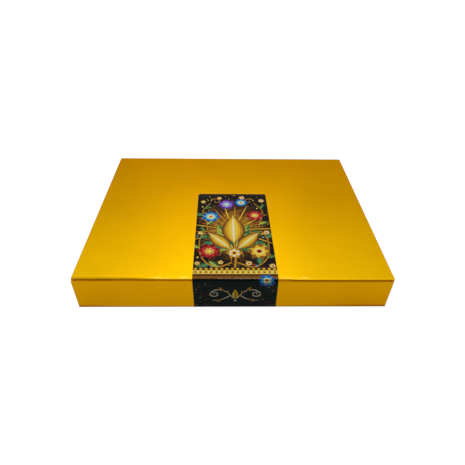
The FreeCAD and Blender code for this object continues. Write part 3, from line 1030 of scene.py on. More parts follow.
# Two tones of each chocolate and topping, then its roughness and the colour of its dust where it has them
CHOCOLATE_LOOKS = {
    "dark_chocolate": ((0.030, 0.011, 0.006), (0.020, 0.007, 0.004)),
    "milk_chocolate": ((0.14, 0.05, 0.019), (0.10, 0.034, 0.012)),
    "white_chocolate": ((0.72, 0.55, 0.30), (0.66, 0.48, 0.24)),
    "caramel_chocolate": ((0.30, 0.115, 0.025), (0.24, 0.085, 0.018)),
    "ruby_chocolate": ((0.32, 0.012, 0.022), (0.22, 0.008, 0.015), (0.16, 0.28), (0.85, 0.5, 0.1)),
    "hazelnut_chocolate": ((0.085, 0.03, 0.012), (0.06, 0.02, 0.008)),
    "ruby_drizzle": ((0.34, 0.03, 0.04), (0.28, 0.02, 0.03)),
    "salt_flakes": ((0.86, 0.84, 0.80), (0.78, 0.76, 0.72), (0.3, 0.42)),
    "chopped_nuts": ((0.62, 0.40, 0.18), (0.48, 0.28, 0.10), (0.5, 0.62)),
}


def moulded(outline, height, shoulder=SHOULDER, taper_share=1.0, steps=SHOULDER_STEPS):
    """A chocolate: an outline drawn up to a rounded shoulder and closed by a slightly crowned top."""
    reach = max(math.hypot(x, y) for x, y in outline)
    wall_top = height - CROWN - shoulder
    profile = list(FOOT_PROFILE) + [(0.0, wall_top)]
    for a in np.linspace(0, math.pi / 2, steps)[1:]:
        profile.append((shoulder - shoulder * math.cos(a), wall_top + shoulder * math.sin(a)))
    rings = [((1 - inset / reach) * mix(1, taper_share, z / height), z) for inset, z in profile]
    last, level = rings[-1]
    rings += [(last * (1 - t), level + CROWN * (1 - (1 - t) ** 2)) for t in CROWN_SHARES]
    points = [(x * s, y * s, z) for s, z in rings for x, y in outline]
    return points, ring_faces(len(rings), len(outline))


def oval_outline(half_x, half_y, power=2.0):
    """A circle, ellipse or rounded rectangle, by the power of a superellipse."""
    outline = []
    for a in angles(OVAL_POINTS):
        c, s = math.cos(a), math.sin(a)
        scale = (abs(c) ** power + abs(s) ** power) ** (-1 / power)
        outline.append((half_x * c * scale, half_y * s * scale))
    return outline


def fluted_outline(radius, flutes, depth_share):
    outline = []
    for a in angles(FLUTED_POINTS):
        r = radius * (1 - depth_share * (0.5 - 0.5 * math.cos(flutes * a)))
        outline.append((r * math.cos(a), r * math.sin(a)))
    return outline


def heart_outline(half_x, half_y):
    """The classic sine heart, scaled to a half width and a half length."""
    raw = []
    for t in angles(HEART_POINTS):
        x = 16 * math.sin(t) ** 3
        y = 13 * math.cos(t) - 5 * math.cos(2 * t) - 2 * math.cos(3 * t) - math.cos(4 * t)
        raw.append((-x, y))
    wide = max(x for x, _ in raw)
    top, foot = max(y for _, y in raw), min(y for _, y in raw)
    return [(half_x * x / wide, half_y * (2 * (y - foot) / (top - foot) - 1)) for x, y in raw]


def tube(path):
    """A bead of piped chocolate along a path, drawn to a point at each end."""
    points = []
    path = [Vector(p) for p in path]
    last = len(path) - 1
    for i, p in enumerate(path):
        along = (path[min(i + 1, last)] - path[max(i - 1, 0)]).normalized()
        side = along.cross(Vector((0, 0, 1))).normalized()
        up = side.cross(along)
        r = BEAD * (BEAD_TIP_SHARE if i in (0, last) else 1.0)
        points += [p + side * (r * math.cos(a)) + up * (r * math.sin(a)) for a in angles(BEAD_SIDES)]
    return points, ring_faces(len(path), BEAD_SIDES)


def crumbs(count, half_x, half_y, z, size):
    """Chopped bits: cubes with their corners knocked about, scattered over a top."""
    chance = random.Random(SEED)
    corners = [(x, y, c) for x in (-1, 1) for y in (-1, 1) for c in (-1, 1)]
    bits = []
    for _ in range(count):
        place = (chance.uniform(-half_x, half_x), chance.uniform(-half_y, half_y), z)
        half = size * chance.uniform(*CRUMB_SHARES)
        points = [[p + half * c * chance.uniform(*CORNER_SHARES) for p, c in zip(place, k)] for k in corners]
        bits.append((points, CUBE_FACES))
    return bits


def piped(shift_shares, way_shares, place):
    """A bead of piped chocolate for each shift, through the places on its way."""
    return [tube([place(t, shift_share) for t in way_shares]) for shift_share in shift_shares]


def dark_dome(half_x, half_y, height):
    """A dome with four wavy lines of milk chocolate over it."""
    shoulder = DOME_ROUND_SHARE * half_x

    def place(t, shift_share):
        wave_share = DOME_WAVE_SHARE * math.sin(DOME_WAVE_TURN * t + shift_share)
        x, y = half_x * t, half_x * (shift_share + wave_share)
        lean = min(1.0, max(0.0, (math.hypot(x, y) - half_x + shoulder) / shoulder))
        return x, y, height - CROWN - shoulder + shoulder * math.sqrt(1 - lean * lean)

    way_shares = np.linspace(-DOME_SPAN_SHARE, DOME_SPAN_SHARE, DOME_LINE_POINTS)
    body = moulded(oval_outline(half_x, half_x), height, shoulder, steps=DOME_STEPS)
    return body, piped(DOME_LINE_SHARES, way_shares, place)


def milk_square(half_x, half_y, height):
    """A rounded square with four slanting waves of dark chocolate."""

    def place(t, shift_share):
        along_share = SQUARE_SPAN_SHARE * t
        wave_share = SQUARE_WAVE_SHARE * math.sin(SQUARE_WAVE_TURN * t)
        x = half_x * (along_share + shift_share / 2)
        return x, half_x * (along_share - shift_share / 2 + wave_share), height - CROWN / 2

    body = moulded(oval_outline(half_x, half_y, SQUARE_POWER), height)
    return body, piped(SQUARE_LINE_SHARES, np.linspace(-1, 1, SQUARE_LINE_POINTS), place)


def white_oval(half_x, half_y, height):
    """An oval with six short ruby lines across it."""

    def place(t, shift_share):
        span = OVAL_SPAN_SHARE * half_y * math.sqrt(1 - shift_share**2)
        return half_x * (shift_share + OVAL_SLANT_SHARE * t), span * t, height - CROWN / 2

    shift_shares = np.linspace(-OVAL_REACH_SHARE, OVAL_REACH_SHARE, OVAL_LINES)
    way_shares = np.linspace(-1, 1, OVAL_LINE_POINTS)
    return moulded(oval_outline(half_x, half_y), height), piped(shift_shares, way_shares, place)


def caramel_cone(half_x, half_y, height):
    """A fluted, tapered mould with salt flakes on top."""
    outline = fluted_outline(half_x, CONE_FLUTES, CONE_FLUTE_SHARE)
    reach = SALT_SHARE * half_x
    flakes = crumbs(SALT_COUNT, reach, reach, height - CROWN / 2, SALT)
    return moulded(outline, height, taper_share=CONE_TOP_SHARE), flakes


def ruby_heart(half_x, half_y, height):
    return moulded(heart_outline(half_x, half_y), height), []


def hazel_bar(half_x, half_y, height):
    """A bar strewn with chopped nuts."""
    nuts = crumbs(NUT_COUNT, NUT_SHARES[0] * half_x, NUT_SHARES[1] * half_y, height - CROWN / 2, NUT)
    return moulded(oval_outline(half_x, half_y, BAR_POWER), height), nuts


MAKERS = {
    "dark_domes": (dark_dome, "dark_chocolate", "milk_chocolate"),
    "milk_squares": (milk_square, "milk_chocolate", "dark_chocolate"),
    "white_ovals": (white_oval, "white_chocolate", "ruby_drizzle"),
    "caramel_cones": (caramel_cone, "caramel_chocolate", "salt_flakes"),
    "ruby_hearts": (ruby_heart, "ruby_chocolate", "ruby_chocolate"),
    "hazel_bars": (hazel_bar, "hazelnut_chocolate", "chopped_nuts"),
}


def build_chocolates(cells):
    finishes = {name: chocolate(name, looks[:2], *looks[2:]) for name, looks in CHOCOLATE_LOOKS.items()}
    slots = {part["node"]: part["material_slot"] for part in frame["record"]["subparts"]}
    for kind, (maker, shell, topping) in MAKERS.items():
        body, toppings = maker(*cells.size(kind))
        parts = []
        for place in cells.of_kind(kind):
            parts += [(body, place, 0)] + [(form, place, 1) for form in toppings]
        points, faces, inks = joined(parts)
        piece = make_piece("moulded_" + kind, points, faces, [finishes[shell], finishes[topping]], inks)
        dress(piece, "base", slots[kind], kind)


# Label: flat shapes in millimetres, u across and v up from the fold at the lid's front edge

LABEL_SHEET = 0.1 * MM
LABEL_LEAN = 0.5 * MM
LABEL_DIP = 0.35 * MM
LABEL_CORNER_MM = 2.0
LABEL_CORNER_POINTS = 6
LABEL_UNDER_DEG = 60
LABEL_UNDER_POINTS = 4
BEND_STEPS = 9
CUT_STEP_MM = 1.0
CUT_REACH_MM = 6.0
CUT_MERGE_MM = 0.0005
SLOPE_STEP_MM = 0.05

INKS = {
    "forest": ((0.004, 0.010, 0.009), (0.007, 0.015, 0.013)),
    "umber": ((0.075, 0.024, 0.005), (0.12, 0.04, 0.008)),
    "bronze": ((0.26, 0.10, 0.010), (0.34, 0.14, 0.014)),
    "amber": ((0.55, 0.24, 0.012), (0.70, 0.34, 0.02)),
    "gold": ((0.88, 0.50, 0.015), (0.94, 0.60, 0.03)),
    "straw": ((0.95, 0.70, 0.07), (0.97, 0.76, 0.12)),
    "cream": ((0.88, 0.76, 0.48), (0.92, 0.84, 0.62)),
    # The worn ink: a painted highlight along the label's fold, and print rubbed pale there
    "worn": ((0.62, 0.60, 0.55), (0.80, 0.78, 0.72)),
    "red": ((0.56, 0.015, 0.015), (0.70, 0.04, 0.03)),
    "crimson": ((0.22, 0.006, 0.010), (0.30, 0.010, 0.014)),
    "violet": ((0.30, 0.12, 0.62), (0.38, 0.17, 0.70)),
    "purple": ((0.10, 0.02, 0.26), (0.15, 0.04, 0.36)),
    "cyan": ((0.03, 0.42, 0.70), (0.07, 0.54, 0.80)),
    "blue": ((0.015, 0.08, 0.36), (0.025, 0.13, 0.48)),
    "green": ((0.02, 0.12, 0.035), (0.04, 0.19, 0.05)),
    "teal": ((0.015, 0.16, 0.12), (0.03, 0.24, 0.17)),
    "lime": ((0.28, 0.38, 0.04), (0.36, 0.45, 0.07)),
}
BLOOMS = {
    "red": ("crimson", "red", "amber", "straw", "cream"),
    "violet": ("purple", "violet", "cyan", "cream", "straw"),
    "cyan": ("blue", "cyan", "cream", "amber", "straw"),
    "cream": ("amber", "cream", "gold", "crimson", "straw"),
    "small": ("amber", "straw", "cream", "umber", "gold"),
    "sun": ("bronze", "gold", "straw", "crimson", "cream"),
}
LEAF_INKS = (("lime", "green", "straw"), ("teal", "green", "lime"), ("green", "forest", "lime"))
GOLD_LEAF = ("gold", "bronze", "umber")
BUD_INKS = ("straw", "gold", "umber")

# Forms of the leaves, petals, pods and curls
UP = math.pi / 2
DISC_POINTS = 12
DOT_POINTS = 6
LENS_POINTS = 13
LEAF_POWER = 0.8
MIDRIB_MM = 0.35
MIDRIB_SHARE = 0.95
VEIN_SHARES = (0.25, 0.45, 0.65)
VEIN_REACH_SHARE = 0.34
VEIN_TIP_SHARE = 0.17
VEIN_FOOT_SHARE = 0.05
PETAL_RING_SHARES = ((1.0, 0.0), (0.74, 0.5), (0.48, 0.0))
PETAL_FOOT_SHARE = 0.1
PETAL_LENGTH_SHARE = 0.9
PETAL_WIDTH_SHARE = 0.72
PETAL_POWER = 0.62
PETAL_POINTS = 9
EYE_SHARE = 0.2
EYE_RING_SHARE = 0.32
EYE_TURN_SHARE = 0.25
EYE_BEAD_SHARE = 0.055
EYE_BEAD_POINTS = 7
POD_SHARES = {"umber": 1.12, "bronze": 1.0, "amber": 0.84, "gold": 0.62, "straw": 0.36, "cream": 0.1}
POD_RIB_SHARES = (-0.74, -0.5, -0.24, 0.24, 0.5, 0.74)
POD_RUN_SHARES = (0.04, 0.96)
POD_RIB_MM = 0.22
POD_POWER = 0.85
POD_POINTS = 15
CURL_SHARES = (1, 0.12)
CURL_TURNS = 1.3
CURL_POINTS = 22
CURL_TIP_SHARE = 0.4

# The print's tables: places, widths and lengths in millimetres, then turns in radians
GLOW_CENTRE_MM = (0.0, 58.0)
GLOW_REACH_MM = (28.0, 40.0)
RAYS = 44
RAY_POWER = 1.4
RAYS_MM = (("gold", 40, 1.0), ("bronze", 31, 1.5), ("amber", 36, 1.0), ("bronze", 31, 1.5))
CONFETTI = 190
CONFETTI_INKS = ("gold", "amber", "straw", "lime", "red")
CONFETTI_SIDE_MM = 1.5
CONFETTI_FOOT_MM = 12
CONFETTI_TOP_MM = 2
CONFETTI_RADII_MM = (0.2, 0.6)
VINE_MM = ((2, 18), (15, 13), (26, 24), (28, 46), (22, 62), (27, 84), (20, 98))
VINE_POINTS = 44
VINE_LEAF_POINTS = range(6, 42, 4)
VINE_STROKES_MM = (("umber", 2.0, 1.2), ("amber", 1.2, 0.5))
VINE_CURL_MM = (15, 101)
VINE_CURL_SIZE_MM = (5.0, 0.9)
VINE_LEAF_MM = (10.5, 4.8)
VINE_LEAF_LOSS_MM = 0.3
VINE_LEAF_LEAN = 0.9
BERRY_INKS = ("red", "cyan", "straw")
BERRY_REACH_MM = 3.4
BERRY_TURN = 1.9
BERRY_MM = 0.85
BERRY_POINTS = 10
SPRAY_MM = (1.5, 36)
SPRAY_LEAVES_MM = ((19, 0, 1.75), (25, 1, 1.3), (28, 2, 0.95), (33, 0, 0.38))
SPRAY_WIDTH_SHARE = 0.36
STEM_MM = ((0, 12), (1, 24), (0, 46))
STEM_POINTS = 12
STEM_STROKES_MM = (("umber", 2.6, 2.2), ("amber", 1.6, 1.2))
PODS_MM = (((-3, 34), 28, 12, 0.72), ((3, 34), 28, 12, -0.72), ((0, 41), 38, 18, 0.0))
LARGE_BLOOMS_MM = (
    ("red", (-20, 31), 10.0, 7),
    ("sun", (20, 31), 10.5, 7),
    ("cyan", (-19.5, 77), 8.8, 7),
    ("red", (19.5, 79), 8.6, 7),
    ("violet", (-5.5, 96), 8.5, 7),
    ("cyan", (8, 99), 7.0, 6),
    ("cream", (0, 29), 7.0, 6),
)
LARGE_TWIST = 0.3
SMALL_BLOOMS_MM = (
    (-28, 54), (28, 55), (-11, 18), (11, 17), (-27, 100),
    (27, 102), (-12, 106), (9, 107), (-29, 17), (29, 14),
)
SMALL_KINDS_MM = (("small", 2.8), ("cream", 3.4))
SMALL_PETALS = 5
SMALL_TWIST = 0.7
SCALLOPS = 16
SCALLOP_MM = 11.0
SCALLOP_POINTS = 14
SCALLOP_DOT_MM = 10.9
SCALLOP_DOT_SHARE = 0.55
SCALLOP_DOT_POINTS = 10
LOWER_BANDS_MM = (("umber", 0.0, SCALLOP_MM), ("bronze", 0.9, 3.2))
UPPER_BANDS_MM = (("bronze", 5.0, 9.9), ("straw", 5.6, 9.3))
BEAD_LINE_MM = 7.45
BEADS_MM = (("bronze", 1.0, 12), ("crimson", 0.5, 8))
# Pale lines along the label's fold: a painted highlight, and print rubbed pale
FOLD_SHEEN_AND_WEAR_LINES_MM = ((-13, -2, 0.22), (-1, 12, 0.4), (13, 22, 0.3), (22.5, 31.6, 0.5))
FOLD_SHEEN_AND_WEAR_LEVEL_MM = 0.55
FOLD_SHEEN_AND_WEAR_WAVE_MM = 0.12
FOLD_SHEEN_AND_WEAR_WAVE_TURN = 0.9
FOLD_SHEEN_AND_WEAR_TIP_SHARE = 0.6
FOLD_SHEEN_AND_WEAR_POINTS = 12
SCROLL_DROP_MM = 0.5
SCROLL_BLOOM_MM = ((23.5, -1.5), 7.5, 7, 0.4)
SCROLL_STEM_MM = ((1.5, -4.5), (7, 3), (14, 5), (19, 1.5))
SCROLL_STEM_POINTS = 22
SCROLL_STEM_WIDTHS_MM = (0.5, 1.1)
SCROLL_TAIL_MM = ((4, -1.5), (10, -5.5), (18, -7))
SCROLL_TAIL_POINTS = 16
SCROLL_TAIL_WIDTHS_MM = (1.0, 0.3)
SCROLL_CURL_MM = (15.6, 0.6)
SCROLL_CURL_SIZE_MM = (3.6, 1.0)
SCROLL_LEAVES_MM = ((9, 4, 5, 0.9), (11, -5.6, 4.5, -0.7), (5.5, 1, 3.5, 1.7))
SCROLL_LEAF_SHARE = 0.46
FLECKS = 26
FLECK_INKS = ("gold", "amber", "lime", "red")
FLECK_START_MM = 18
FLECK_SIDE_MM = 1.2
FLECK_FOOT_MM = 1.5
FLECK_TOP_MM = -4
FLECK_RADII_MM = (0.2, 0.5)
BUD_DROP_MM = 5.5
BUD_MM = (11, 5)
BUD_BEAD_DROP_MM = 7
BUD_BEAD_MM = 1.0


def turned_left(outline):
    """The outline in the order that keeps its inside on the left."""
    ends = outline[1:] + outline[:1]
    area = sum(a[0] * b[1] - a[1] * b[0] for a, b in zip(outline, ends))
    return outline if area > 0 else outline[::-1]


def moved(outline, place, angle):
    """The outline, turned by an angle and set at a place."""
    c, s = math.cos(angle), math.sin(angle)
    return [(place[0] + u * c - v * s, place[1] + u * s + v * c) for u, v in outline]


def off(place, distance, angle):
    return place[0] + distance * math.cos(angle), place[1] + distance * math.sin(angle)


def on_side(points, side, lift=0):
    """Points of the right half, or their mirror images on the left, raised by a lift."""
    return [(side * u, lift + v) for u, v in points]


def facing(angle, side):
    return angle if side > 0 else math.pi - angle


def bend(points, count):
    """A smooth curve through a few points."""
    points = np.array(points, float)
    curve = []
    for t in np.linspace(0, len(points) - 1, count):
        i = min(int(t), len(points) - 2)
        f = t - i
        p0, p1, p2, p3 = (points[max(0, min(len(points) - 1, i + k))] for k in (-1, 0, 1, 2))
        cubic = (2 * p0 - 5 * p1 + 4 * p2 - p3) * f**2 + (3 * p1 - p0 - 3 * p2 + p3) * f**3
        curve.append(0.5 * (2 * p1 + (p2 - p0) * f + cubic))
    return np.array(curve)


def lens(length, width, power, count=LENS_POINTS):
    """A pointed shape along u, from the origin."""
    half = [(length * t, 0.5 * width * math.sin(math.pi * t**power)) for t in np.linspace(0, 1, count)]
    return half + [(u, -v) for u, v in half[-2:0:-1]]


class Print:
    """The shapes of the print, in the order that they are laid down."""

    def __init__(self):
        self.shapes = []

    def fill(self, ink, outline, place=(0, 0), angle=0.0):
        self.shapes.append((ink, turned_left(moved(outline, place, angle))))

    def band(self, half, ink, low, high):
        self.fill(ink, [(-half, low), (half, low), (half, high), (-half, high)])

    def disc(self, ink, place, radius, count=DISC_POINTS):
        self.fill(ink, [off((0, 0), radius, a) for a in angles(count)], place)

    def stroke(self, ink, path, start_width, end_width):
        """A line along a path, from one width to the other."""
        path = np.array(path)
        along = np.gradient(path, axis=0)
        along /= np.linalg.norm(along, axis=1)[:, None]
        side = np.stack([-along[:, 1], along[:, 0]], axis=1)
        side *= np.linspace(start_width, end_width, len(path))[:, None] / 2
        self.fill(ink, np.concatenate([path + side, (path - side)[::-1]]).tolist())

    def leaf(self, inks, place, angle, length, width):
        """A pointed leaf with a light and a dark half, a midrib and side veins."""
        light, dark, vein = inks
        whole = lens(length, width, LEAF_POWER)
        self.fill(dark, whole, place, angle)
        self.fill(light, [p for p in whole if p[1] >= 0], place, angle)
        self.fill(vein, [(0, MIDRIB_MM), (MIDRIB_SHARE * length, 0), (0, -MIDRIB_MM)], place, angle)
        for t in VEIN_SHARES:
            reach = VEIN_REACH_SHARE * width * math.sin(math.pi * t**LEAF_POWER)
            tip, foot = (t + VEIN_TIP_SHARE) * length, (t + VEIN_FOOT_SHARE) * length
            for side in (-1, 1):
                self.fill(vein, [(t * length, 0), (tip, side * reach), (foot, 0)], place, angle)

    def flower(self, inks, place, radius, petals, twist):
        """Three rings of petals about a beaded eye."""
        for ink, (size_share, turn_share) in zip(inks, PETAL_RING_SHARES):
            size = size_share * radius
            outline = lens(PETAL_LENGTH_SHARE * size, PETAL_WIDTH_SHARE * size, PETAL_POWER, PETAL_POINTS)
            petal = [(PETAL_FOOT_SHARE * size + u, v) for u, v in outline]
            for k in range(petals):
                self.fill(ink, petal, place, twist + math.tau * (k + turn_share) / petals)
        self.disc(inks[3], place, EYE_SHARE * radius)
        for k in range(petals):
            spot = off(place, EYE_RING_SHARE * radius, twist + math.tau * (k + EYE_TURN_SHARE) / petals)
            self.disc(inks[4], spot, EYE_BEAD_SHARE * radius, EYE_BEAD_POINTS)

    def pod(self, place, angle, length, width):
        """A ribbed cacao pod, lit along its middle."""
        for ink, share in POD_SHARES.items():
            self.fill(ink, lens(length, share * width, POD_POWER), place, angle)
        run = np.linspace(*POD_RUN_SHARES, POD_POINTS)
        for share in POD_RIB_SHARES:
            half = 0.5 * share * width
            rib = [(length * t, half * math.sin(math.pi * t**POD_POWER)) for t in run]
            self.stroke("bronze", moved(rib, place, angle), POD_RIB_MM, POD_RIB_MM)

    def spiral(self, ink, place, radius, width, start, turn):
        """A tendril that curls in to its middle."""
        path = []
        for share in np.linspace(*CURL_SHARES, CURL_POINTS):
            path.append(off(place, radius * share, start + turn * math.tau * CURL_TURNS * (1 - share)))
        self.stroke(ink, path, width, CURL_TIP_SHARE * width)

    def scatter(self, chance, count, inks, across, up, radii, side=1):
        """Small dots of chance inks and sizes, over a part of the label."""
        for _ in range(count):
            place = (side * chance.uniform(*across), chance.uniform(*up))
            self.disc(chance.choice(inks), place, chance.uniform(*radii), DOT_POINTS)


def draw_print(half, top, foot):
    """A botanical print: a spray of cacao pods in leaves and blossoms, a band at the fold, scrolls below."""
    art = Print()
    chance = random.Random(SEED)
    art.band(half, "forest", foot, 0.0)
    draw_rays(art)
    inner = half - CONFETTI_SIDE_MM
    heights = (CONFETTI_FOOT_MM, top - CONFETTI_TOP_MM)
    art.scatter(chance, CONFETTI, CONFETTI_INKS, (-inner, inner), heights, CONFETTI_RADII_MM)
    draw_vines(art)
    draw_spray(art)
    draw_blooms(art)
    draw_fold(art, half)
    draw_scrolls(art, chance, half, foot)
    return art.shapes


def draw_rays(art):
    """Long and short rays of light behind the spray."""
    for k in range(RAYS):
        ink, length, width = RAYS_MM[k % len(RAYS_MM)]
        art.fill(ink, lens(length, width, RAY_POWER), GLOW_CENTRE_MM, math.tau * (k + 0.5) / RAYS)


def draw_vines(art):
    """A vine up each side, with leaves, berries and a curl at its end."""
    length, width = VINE_LEAF_MM
    for side in (-1, 1):
        path = bend(on_side(VINE_MM, side), VINE_POINTS)
        for ink, *widths in VINE_STROKES_MM:
            art.stroke(ink, path, *widths)
        curl = on_side([VINE_CURL_MM], side)[0]
        art.spiral("amber", curl, *VINE_CURL_SIZE_MM, facing(0.0, side), side)
        for k, i in enumerate(VINE_LEAF_POINTS):
            ahead = path[i + 1] - path[i - 1]
            angle = math.atan2(ahead[1], ahead[0]) + (VINE_LEAF_LEAN if k % 2 else -VINE_LEAF_LEAN)
            leaf_inks = LEAF_INKS[k % len(LEAF_INKS)]
            art.leaf(leaf_inks, path[i], angle, length - VINE_LEAF_LOSS_MM * k, width)
            berry = off(path[i], BERRY_REACH_MM, angle + BERRY_TURN)
            art.disc(BERRY_INKS[k % len(BERRY_INKS)], berry, BERRY_MM, BERRY_POINTS)


def draw_spray(art):
    """Leaves fanned behind three ribbed pods."""
    for length, number, lean in SPRAY_LEAVES_MM:
        for side in (-1, 1):
            place = on_side([SPRAY_MM], side)[0]
            art.leaf(LEAF_INKS[number], place, UP - side * lean, length, SPRAY_WIDTH_SHARE * length)
    for ink, *widths in STEM_STROKES_MM:
        art.stroke(ink, bend(STEM_MM, STEM_POINTS), *widths)
    for place, length, width, lean in PODS_MM:
        art.pod(place, UP + lean, length, width)


def draw_blooms(art):
    """Blossoms over the vines, large at the sides and small between."""
    for name, place, radius, petals in LARGE_BLOOMS_MM:
        art.flower(BLOOMS[name], place, radius, petals, LARGE_TWIST * radius)
    for k, place in enumerate(SMALL_BLOOMS_MM):
        name, radius = SMALL_KINDS_MM[k % len(SMALL_KINDS_MM)]
        art.flower(BLOOMS[name], place, radius, SMALL_PETALS, SMALL_TWIST * k)


def draw_fold(art, half):
    """A beaded gold band over a brown one, and pale lines along the bend: a painted highlight on the fold,
    and print rubbed pale.
    """
    places = [-half + 2 * half * (k + 0.5) / SCALLOPS for k in range(SCALLOPS)]
    radius = half / SCALLOPS
    for band in LOWER_BANDS_MM:
        art.band(half, *band)
    for u in places:
        art.disc("umber", (u, SCALLOP_MM), radius, SCALLOP_POINTS)
        art.disc("gold", (u, SCALLOP_DOT_MM), SCALLOP_DOT_SHARE * radius, SCALLOP_DOT_POINTS)
    for band in UPPER_BANDS_MM:
        art.band(half, *band)
    for u in places:
        for ink, radius, count in BEADS_MM:
            art.disc(ink, (u, BEAD_LINE_MM), radius, count)
    # Painted highlight, and rubbed print, along the fold
    for start, end, width in FOLD_SHEEN_AND_WEAR_LINES_MM:
        steps = np.linspace(start, end, FOLD_SHEEN_AND_WEAR_POINTS)
        path = [(u, FOLD_SHEEN_AND_WEAR_LEVEL_MM + FOLD_SHEEN_AND_WEAR_WAVE_MM * math.sin(FOLD_SHEEN_AND_WEAR_WAVE_TURN * u)) for u in steps]
        art.stroke("worn", path, width, FOLD_SHEEN_AND_WEAR_TIP_SHARE * width)


def draw_scrolls(art, chance, half, foot):
    """The lower panel: a pair of scrolls about a bud, and flecks and a half blossom towards the sides."""
    middle = foot / 2 - SCROLL_DROP_MM
    across = (FLECK_START_MM, half - FLECK_SIDE_MM)
    heights = (foot + FLECK_FOOT_MM, FLECK_TOP_MM)
    art.flower(BLOOMS["cyan"], *SCROLL_BLOOM_MM)
    for side in (-1, 1):
        stem = bend(on_side(SCROLL_STEM_MM, side, middle), SCROLL_STEM_POINTS)
        tail = bend(on_side(SCROLL_TAIL_MM, side, middle), SCROLL_TAIL_POINTS)
        art.stroke("cream", stem, *SCROLL_STEM_WIDTHS_MM)
        curl = on_side([SCROLL_CURL_MM], side, middle)[0]
        art.spiral("cream", curl, *SCROLL_CURL_SIZE_MM, facing(0.0, side), -side)
        art.stroke("cream", tail, *SCROLL_TAIL_WIDTHS_MM)
        for u, v, size, lean in SCROLL_LEAVES_MM:
            place = (side * u, middle + v)
            art.leaf(GOLD_LEAF, place, facing(lean, side), size, SCROLL_LEAF_SHARE * size)
        art.scatter(chance, FLECKS, FLECK_INKS, across, heights, FLECK_RADII_MM, side)
    art.leaf(BUD_INKS, (0, middle - BUD_DROP_MM), UP, *BUD_MM)
    art.disc("cream", (0, middle - BUD_BEAD_DROP_MM), BUD_BEAD_MM)


def label_path(front):
    """Places (y, z) of the label's face from its back end to under the flap's foot, and the fold's number."""
    face, level = front.y - LABEL_SHEET, front.top + LABEL_SHEET
    nose = front.y + NOSE_DEPTH
    flat = (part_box("label_lid_span")[1].y, nose + CREST_REACH, nose + CREST_REACH / 2)
    path = [(y, level) for y in flat]
    for a in np.linspace(0, math.pi / 2, BEND_STEPS):
        y = nose - (NOSE_DEPTH + LABEL_SHEET) * math.sin(a)
        path.append((y, front.top - NOSE_HEIGHT + (NOSE_HEIGHT + LABEL_SHEET) * math.cos(a)))
    fold_number = len(path) - BEND_STEPS // 2
    dip_top, dip_foot = front.under + NOSE_UNDER, front.flap_top - EDGE
    for t in np.linspace(0, 1, BEND_STEPS):
        path.append((face + LABEL_DIP * (1 - math.cos(math.tau * t)) / 2, mix(dip_top, dip_foot, t)))
    path += [(face, dip_foot - step) for step in (EDGE, LIFT_FADE / 4, LIFT_FADE / 2, LIFT_FADE)]
    radius = EDGE + LABEL_SHEET
    for a in np.linspace(0, math.radians(LABEL_UNDER_DEG), LABEL_UNDER_POINTS):
        path.append((front.y + EDGE - radius * math.cos(a), front.flap_foot + EDGE - radius * math.sin(a)))
    return np.array(path), fold_number


def cut_print(shapes, half, run, fold_run):
    """Cuts the flat label along its print and its bends; gives points, triangles and each one's shape."""
    points, outlines, edges = [], [], []
    for _, outline in shapes:
        outlines.append(list(range(len(points), len(points) + len(outline))))
        points += [Vector(p) for p in outline]
    cuts = [((-half, fold_run - s), (half, fold_run - s)) for s in run[1:-1]]
    for u in np.arange(CUT_STEP_MM - half, half, CUT_STEP_MM):
        cuts.append(((u, CUT_REACH_MM), (u, -CUT_REACH_MM)))
    for start, end in cuts:
        edges.append((len(points), len(points) + 1))
        points += [Vector(start), Vector(end)]
    flat, _, triangles, _, _, sources = delaunay_2d_cdt(points, edges, outlines, 0, CUT_MERGE_MM)
    kept = [(tri, max(source)) for tri, source in zip(triangles, sources) if 0 in source]
    used = sorted({i for tri, _ in kept for i in tri})
    number = {old: new for new, old in enumerate(used)}
    return [flat[i] for i in used], [[number[i] for i in tri] for tri, _ in kept], [top for _, top in kept]


def sheet_outline(half, top, foot):
    """The flat label, with its two back corners rounded."""
    centre = (half - LABEL_CORNER_MM, top - LABEL_CORNER_MM)
    corner = [off(centre, LABEL_CORNER_MM, a) for a in np.linspace(0, math.pi / 2, LABEL_CORNER_POINTS)]
    return turned_left(corner + on_side(corner[::-1], -1) + [(-half, foot), (half, foot)])


